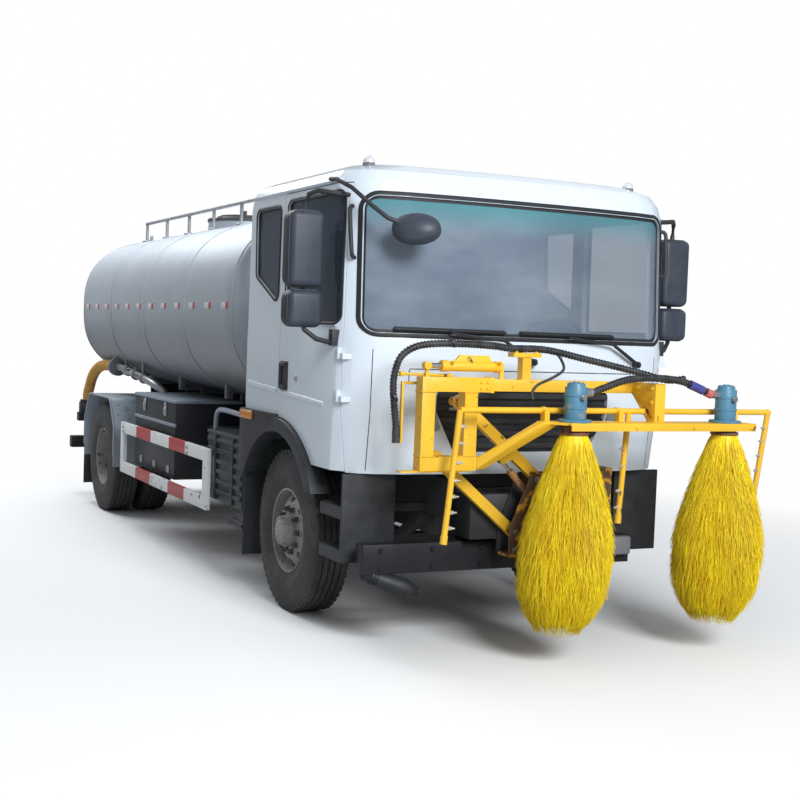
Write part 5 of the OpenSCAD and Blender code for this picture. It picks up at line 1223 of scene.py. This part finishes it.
boom_x = 1.48
pull_x = 1.457
for k, (y, z) in enumerate(((-0.855, 1.151), (-0.59, 1.151), (-0.855, 1.504), (-0.59, 1.504))):
    bead("post_weld_%d" % k, (boom_x, y, z), 0.041, 0.041, "boom_carriage")
bead("stem_weld", (boom_x, -0.235, 1.579), 0.029, 0.029, "boom_head")
bead("tower_weld", (1.7015, 0.53, 1.3605), 0.0345, 0.037, "boom_head")
carriage_bits = bmesh.new()
for y in (-0.49, -0.53):
    for z in (1.527, 1.563):
        bolt(carriage_bits, (1.52, y, z), (1, 0, 0), 0.009)
slab(carriage_bits, (boom_x - 0.0435, -0.472, 1.501), (boom_x + 0.0435, -0.448, 1.5885), 0.003)
for y in (-0.896, -0.561):
    slab(carriage_bits, (boom_x - 0.0425, y, 1.0675), (boom_x + 0.0425, y + 0.012, 1.1525), 0.003)
rod(carriage_bits, (pull_x, -0.69, 1.592), (pull_x, -1.0, 1.596), 0.0075, sides=10)
rod(carriage_bits, (pull_x, -0.985, 1.596), (pull_x, -1.006, 1.5965), 0.014, sides=12)
for y in (-0.70, -0.84):
    slab(carriage_bits, (pull_x - 0.01, y - 0.012, 1.583), (pull_x + 0.01, y + 0.012, 1.604), 0.003)
for y, z in ((-0.58, 1.44), (-0.695, 1.12)):
    rod(carriage_bits, (1.283, y, z), (1.290, y, z), 0.026, sides=24)
piece("carriage_fixings", carriage_bits, boom_yellow, "boom_carriage")
brush_x = 1.75
brush_ys = (-0.06, 0.995)
head_bits = bmesh.new()
for x, z in ((1.565, 1.55), (1.63, 1.55), (1.70, 1.55), (1.70, 1.47)):
    bolt(head_bits, (x, 0.565, z), (0, 1, 0), 0.010)
    bolt(head_bits, (x, 0.495, z), (0, -1, 0), 0.010)
for y in (-0.30, -0.17):
    bolt(head_bits, (1.50, y, 1.73), (0, 0, 1), 0.009)
for y in brush_ys:
    for foot, _ in around(6, 0.076, (brush_x, y, 1.359), start=0.5):
        bolt(head_bits, foot, (0, 0, 1), 0.009)
for y in (0.30, 0.70, 1.12):
    bolt(head_bits, (1.84, y, 1.333), (1, 0, 0), 0.009)
gusset_turn = Matrix.Rotation(math.radians(38), 3, "Y")
slab(head_bits, (1.505, 0.497, 1.44), (1.70, 0.563, 1.447), 0.002, gusset_turn)
piece("head_fixings", head_bits, boom_yellow, "boom_head")

# Cylinders
# Two hydraulic rams: one shifts the head sideways, one lifts the links; turned barrels with
# screwed glands and unions on polished rods.
dress(boom_yellow, "shift_cylinder", edge=0.003)
ram_brown = paint("ram_brown", (0.33, 0.15, 0.035), 0.5, dust=0.2, dust_top=1.3, chips=0.3)
dress(ram_brown, "lift_barrel", edge=0.003)
rod_chrome = Finish("rod_chrome", (0.62, 0.6, 0.57), 0.2, Metallic=1.0)
rod_chrome.feed("Roughness", 0.14 + rod_chrome.noise(40, 4, (1, 0.2, 1)) * 0.2)
dress(rod_chrome, "shift_rod", "lift_rod")
shift_z = 1.645
glands = bmesh.new()
for start, end, radius in ((-0.768, -0.735, 0.032), (-0.735, -0.729, 0.030), (-0.43, -0.398, 0.032)):
    rod(glands, (boom_x, start, shift_z), (boom_x, end, shift_z), radius, sides=36)
for y in (-0.715, -0.42):
    rod(glands, (1.50, y, 1.655), (1.523, y, 1.668), 0.011, sides=6)
    rod(glands, (1.52, y, 1.666), (1.535, y, 1.675), 0.008, sides=12)
piece("shift_glands", glands, boom_yellow, "boom_head")

# Brush motors
# Blue hydraulic gear motors bolted on the beam, each with a ribbed cap, ports and steel unions.
motor_blue = paint("motor_blue", (0.085, 0.235, 0.345), 0.4, dust=0.1, dust_top=1.5, mottle=0.12, chips=0.15,
                   under=(0.25, 0.27, 0.28))
dress(motor_blue, "brush_motors", edge=0.006)
flange_line = [(0.061, 1.3592), (0.092, 1.3592), (0.094, 1.362), (0.094, 1.371), (0.090, 1.374),
               (0.0625, 1.376), (0.061, 1.3592)]
rib_line = ((0.0615, 0), (0.066, 0.003), (0.066, 0.012), (0.0615, 0.015), (0.0615, 0))
plug_line = [(0.0, 1.584), (0.02, 1.584), (0.024, 1.58), (0.024, 1.572), (0.0, 1.572)]
motor_bits = bmesh.new()
for y in brush_ys:
    turn(motor_bits, flange_line, (brush_x, y, 0), "Z", 40)
    for z in (1.43, 1.50):
        turn(motor_bits, [(r, z + rise) for r, rise in rib_line], (brush_x, y, 0), "Z", 40)
    turn(motor_bits, plug_line, (brush_x, y, 0), "Z", 20)
    for foot, _ in around(5, 0.038, (brush_x, y, 1.574)):
        bolt(motor_bits, foot, (0, 0, 1), 0.007)
piece("motor_bodies", motor_bits, motor_blue, "boom_head", crease=35)
unions = bmesh.new()
for y, way in zip(brush_ys, (1, -1)):
    port = Vector((brush_x, y + way * 0.060, 1.525))
    drain = Vector((1.805, y, 1.50))
    rod(unions, port, port + Vector((0, way * 0.022, 0)), 0.026, sides=6)
    rod(unions, port, port + Vector((0, way * 0.046, 0)), 0.023, sides=20)
    rod(unions, drain, drain + Vector((0.027, 0, 0)), 0.018, sides=6)
    rod(unions, drain, drain + Vector((0.037, 0, 0)), 0.013, sides=16)
piece("motor_unions", unions, steel, "boom_head")

# Spray pipes
# Bent yellow water pipe clipped along the beam, with three drop legs that carry short spray nipples.
dress(boom_yellow, "spray_pipes")
nozzle_pale = Finish("nozzle_pale", (0.66, 0.6, 0.5), 0.4, slot="rail_steel", Metallic=0.3)
scale_marks = nozzle_pale.noise(60, 3).fade(0.3, 0.7)
nozzle_pale.feed("Base Color", scale_marks.mix((0.72, 0.68, 0.6), (0.42, 0.34, 0.22)))
pipe_x = 1.642
pipe_z = 1.415
nipples = bmesh.new()
legs = bmesh.new()
for top_y, foot_y, foot_z, way, heights in (
    (-0.725, -0.798, 0.69, 1, (1.326, 1.234, 1.131, 1.033, 0.946, 0.86, 0.775)),
    (0.38, 0.336, 0.77, -1, (1.31, 1.20, 1.096, 0.956, 0.86)),
    (1.417, 1.282, 0.545, -1, (1.32, 1.24, 1.15, 1.06, 0.97)),
):
    foot = Vector((pipe_x, foot_y, foot_z))
    slope = Vector((0, (top_y - foot_y) / (pipe_z - foot_z), 1))
    for z in heights:
        base = foot + slope * (z - foot_z)
        rod(nipples, base, base + Vector((0.012, way * 0.030, 0)), 0.011, sides=6)
        rod(nipples, base, base + Vector((0.019, way * 0.048, 0)), 0.007, 0.005, 10)
    rod(legs, foot + slope * 0.045, foot - Vector((0, 0, 0.002)), 0.0205, sides=20)
for y in (-0.2, 0.3, 1.13):
    rod(legs, (pipe_x, y - 0.014, pipe_z), (pipe_x, y + 0.014, pipe_z), 0.0215, sides=24)
    bolt(legs, (1.668, y, pipe_z), (0, 0, 1), 0.008)
piece("spray_nipples", nipples, nozzle_pale, "boom_head")
piece("pipe_caps", legs, boom_yellow, "boom_head")

# Hydraulic hoses
# Two-ply rubber hoses in a spiral guard, led up the frame's end, over the stem's cap plate
# and from motor to motor, with coloured sleeves at the left motor.
hose_black = worn("hose_black", ((0.016, 0.017, 0.02), (0.075, 0.075, 0.08)), 0.35, 0.3, 16, 6)
hose_radius = 0.0178
guard_reach = 0.0186


def wrapped(name, route, pitch=0.019):
    """Hose with a strip wound round it."""
    core = smooth(route, 8)
    thing = tube(name, core, hose_radius, hose_black, "boom_head", 3)
    turn_points = 10
    helix = []
    swing = 0.0
    side = Vector((1, 0, 0))
    for here, after in zip(core, core[1:]):
        run = after - here
        cuts = max(1, round(run.length / pitch * turn_points))
        way = run.normalized()
        side = (side - way * side.dot(way)).normalized()
        for i in range(cuts):
            swing += math.tau * run.length / pitch / cuts
            out = side * math.cos(swing) + way.cross(side) * math.sin(swing)
            helix.append(here + run * (i / cuts) + out * guard_reach)
    tube(name + "_guard", helix, 0.0042, hose_black, "boom_head", 0)
    return thing


feed_route = [
    (1.395, -0.985, 1.23), (1.395, -0.985, 1.28), (1.395, -1.0, 1.4), (1.395, -1.012, 1.51),
    (1.4, -1.008, 1.6), (1.408, -0.975, 1.69), (1.425, -0.895, 1.745), (1.45, -0.78, 1.765),
    (1.468, -0.6, 1.768), (1.476, -0.43, 1.762), (1.48, -0.33, 1.7525), (1.48, -0.14, 1.7525),
    (1.494, -0.02, 1.738), (1.525, 0.14, 1.705), (1.575, 0.32, 1.668), (1.645, 0.48, 1.63),
    (1.71, 0.59, 1.6), (1.75, 0.69, 1.612)]
loop_route = [
    (1.75, 0.0023, 1.525), (1.75, 0.0523, 1.525), (1.75, 0.114, 1.547), (1.75, 0.2814, 1.599),
    (1.75, 0.4675, 1.612), (1.75, 0.6536, 1.599), (1.75, 0.8211, 1.547), (1.75, 0.8827, 1.525),
    (1.75, 0.9327, 1.525)]
pilot_route = [
    (1.492, -0.04, 1.737), (1.50, -0.005, 1.70), (1.505, 0.012, 1.64), (1.51, -0.07, 1.59),
    (1.515, -0.158, 1.555), (1.52, -0.20, 1.51), (1.523, -0.195, 1.47)]
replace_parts(wrapped("feed_hose", feed_route), "hydraulic_hoses")
wrapped("loop_hose", loop_route)
tube("pilot_hose", smooth(pilot_route, 6), 0.0085, hose_black, "boom_head")
sleeve_blue = paint("sleeve_blue", (0.06, 0.06, 0.27), 0.45, slot="hose_black", dust=0.0, mottle=0.3)
sleeve_red = paint("sleeve_red", (0.55, 0.13, 0.13), 0.45, slot="hose_black", dust=0.0, mottle=0.2)
loop_line = smooth(loop_route, 8)
for word, finish, low, high in (("blue", sleeve_blue, 0.70, 0.83), ("red", sleeve_red, 0.835, 0.885)):
    covered = [p for p in loop_line if low < p.y < high]
    tube("hose_sleeve_" + word, covered, 0.0265, finish, "boom_head", 4)
hose_ends = bmesh.new()
feed_x, feed_y, _ = feed_route[0]
rod(hose_ends, (feed_x, feed_y, 1.215), (feed_x, feed_y, 1.262), 0.0245, sides=6)
rod(hose_ends, (feed_x, feed_y, 1.262), (feed_x, feed_y, 1.30), 0.0235, 0.021, 20)
for x, y, z in ((1.397, -1.006, 1.46), (1.459, -0.69, 1.7675)):
    rod(hose_ends, (x, y - 0.006, z), (x, y + 0.006, z + 0.008), 0.027, sides=20)
piece("hose_ends", hose_ends, hose_black, "boom_head")

# Brushes
# Nylon bristles bound in a steel collar, hanging as a shaggy yellow drop with loose tips.
bristle_finish = Finish("bristle_yellow", (1.0, 0.76, 0.006), 0.5)
streak = bristle_finish.noise(30, 5, (1, 1, 0.1))
shade = (streak * 0.75 + bristle_finish.noise(5, 3) * 0.3).fade(0.36, 0.66)
bristle_finish.feed("Base Color", shade.mix((0.80, 0.50, 0.003), (1.0, 0.83, 0.006)))
bristle_finish.feed("Roughness", 0.38 + streak * 0.3)
# Outline of a brush: share of its length from the top, share of its greatest radius
drop = [(0.0, 0.3), (0.05, 0.38), (0.3, 0.72), (0.5, 0.95), (0.65, 1.0), (0.82, 0.92), (0.94, 0.68),
        (1.0, 0.3)]
brush_top = 1.305
brush_length = 1.11
brush_radius = 0.26


def drop_radius(share):
    for (a, ra), (b, rb) in zip(drop, drop[1:]):
        if share <= b:
            return brush_radius * (ra + (rb - ra) * max(0.0, share - a) / (b - a))
    return brush_radius * drop[-1][1]


def strands(name, centre_y, seed, count, lean):
    """Bristles that hug the drop and spring loose at their tips."""
    draw = random.Random(seed)
    curve = bpy.data.curves.new(name, "CURVE")
    curve.dimensions = "3D"
    curve.bevel_depth = 0.0016
    curve.bevel_resolution = 0
    for _ in range(count):
        swing = draw.uniform(0, math.tau)
        root = draw.betavariate(1.1, 1.0) * 0.88
        tip = min(draw.uniform(0.98, 1.02), root + draw.uniform(0.10, 0.26))
        bow = draw.uniform(0.93, 1.03)
        flare = draw.uniform(-0.006, 0.02) * (0.4 + tip)
        sway = draw.uniform(-0.16, 0.16)
        spline = curve.splines.new("POLY")
        spline.points.add(3)
        for i, point in enumerate(spline.points):
            part = i / 3
            share = root + (tip - root) * part
            reach = drop_radius(min(share, 0.985)) * bow * (0.84 + 0.16 * part ** 0.6) + flare * part ** 3
            spread = swing + sway * part * part
            point.co = (brush_x + reach * math.cos(spread),
                        centre_y + reach * math.sin(spread) + lean * share ** 2,
                        brush_top - brush_length * share, 1)
            point.radius = (0.8, 1.0, 0.9, 0.25)[i]
    curve.materials.append(bristle_finish.material)
    thing = bpy.data.objects.new(name, curve)
    scene.collection.objects.link(thing)
    return thing


collar_red = paint("collar_red", (0.19, 0.07, 0.035), 0.55, dust=0.1, dust_top=1.6, chips=0.2,
                   slot="bristle_yellow")
heart_share = 0.88
heart_line = [(0.0, brush_top)]
for share in (0, 0.05, 0.15, 0.3, 0.5, 0.65, 0.82, 0.92, 0.96):
    heart_line.append((drop_radius(share) * heart_share, brush_top - brush_length * share))
heart_line.append((0.0, brush_top - brush_length * 0.975))
collar_line = [(0.0205, 1.3385), (0.066, 1.3385), (0.07, 1.334), (0.07, 1.308), (0.082, 1.304), (0.082, 1.29),
               (0.06, 1.285), (0.0205, 1.305), (0.0205, 1.3385)]
strand_count = 7800
for centre_y, body, seed, lean in zip(brush_ys, ("brush_right", "brush_left"), (11, 23), (-0.06, -0.03)):
    shag = strands(body + "_bristles", centre_y, seed, strand_count, lean)
    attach(shag, body)
    heart = bmesh.new()
    turn(heart, heart_line, (brush_x, centre_y, 0), "Z", 40)
    for v in heart.verts:
        v.co.y += lean * ((brush_top - v.co.z) / brush_length) ** 2
    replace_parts(piece(body + "_heart", heart, bristle_finish, body, crease=60), body)
    ring = bmesh.new()
    turn(ring, collar_line, (brush_x, centre_y, 0), "Z", 40)
    for head, out in around(6, 0.07, (brush_x, centre_y, 1.321)):
        rod(ring, head, head + out * 0.008, 0.006, sides=6)
    piece(body + "_collar", ring, collar_red, body, crease=35)
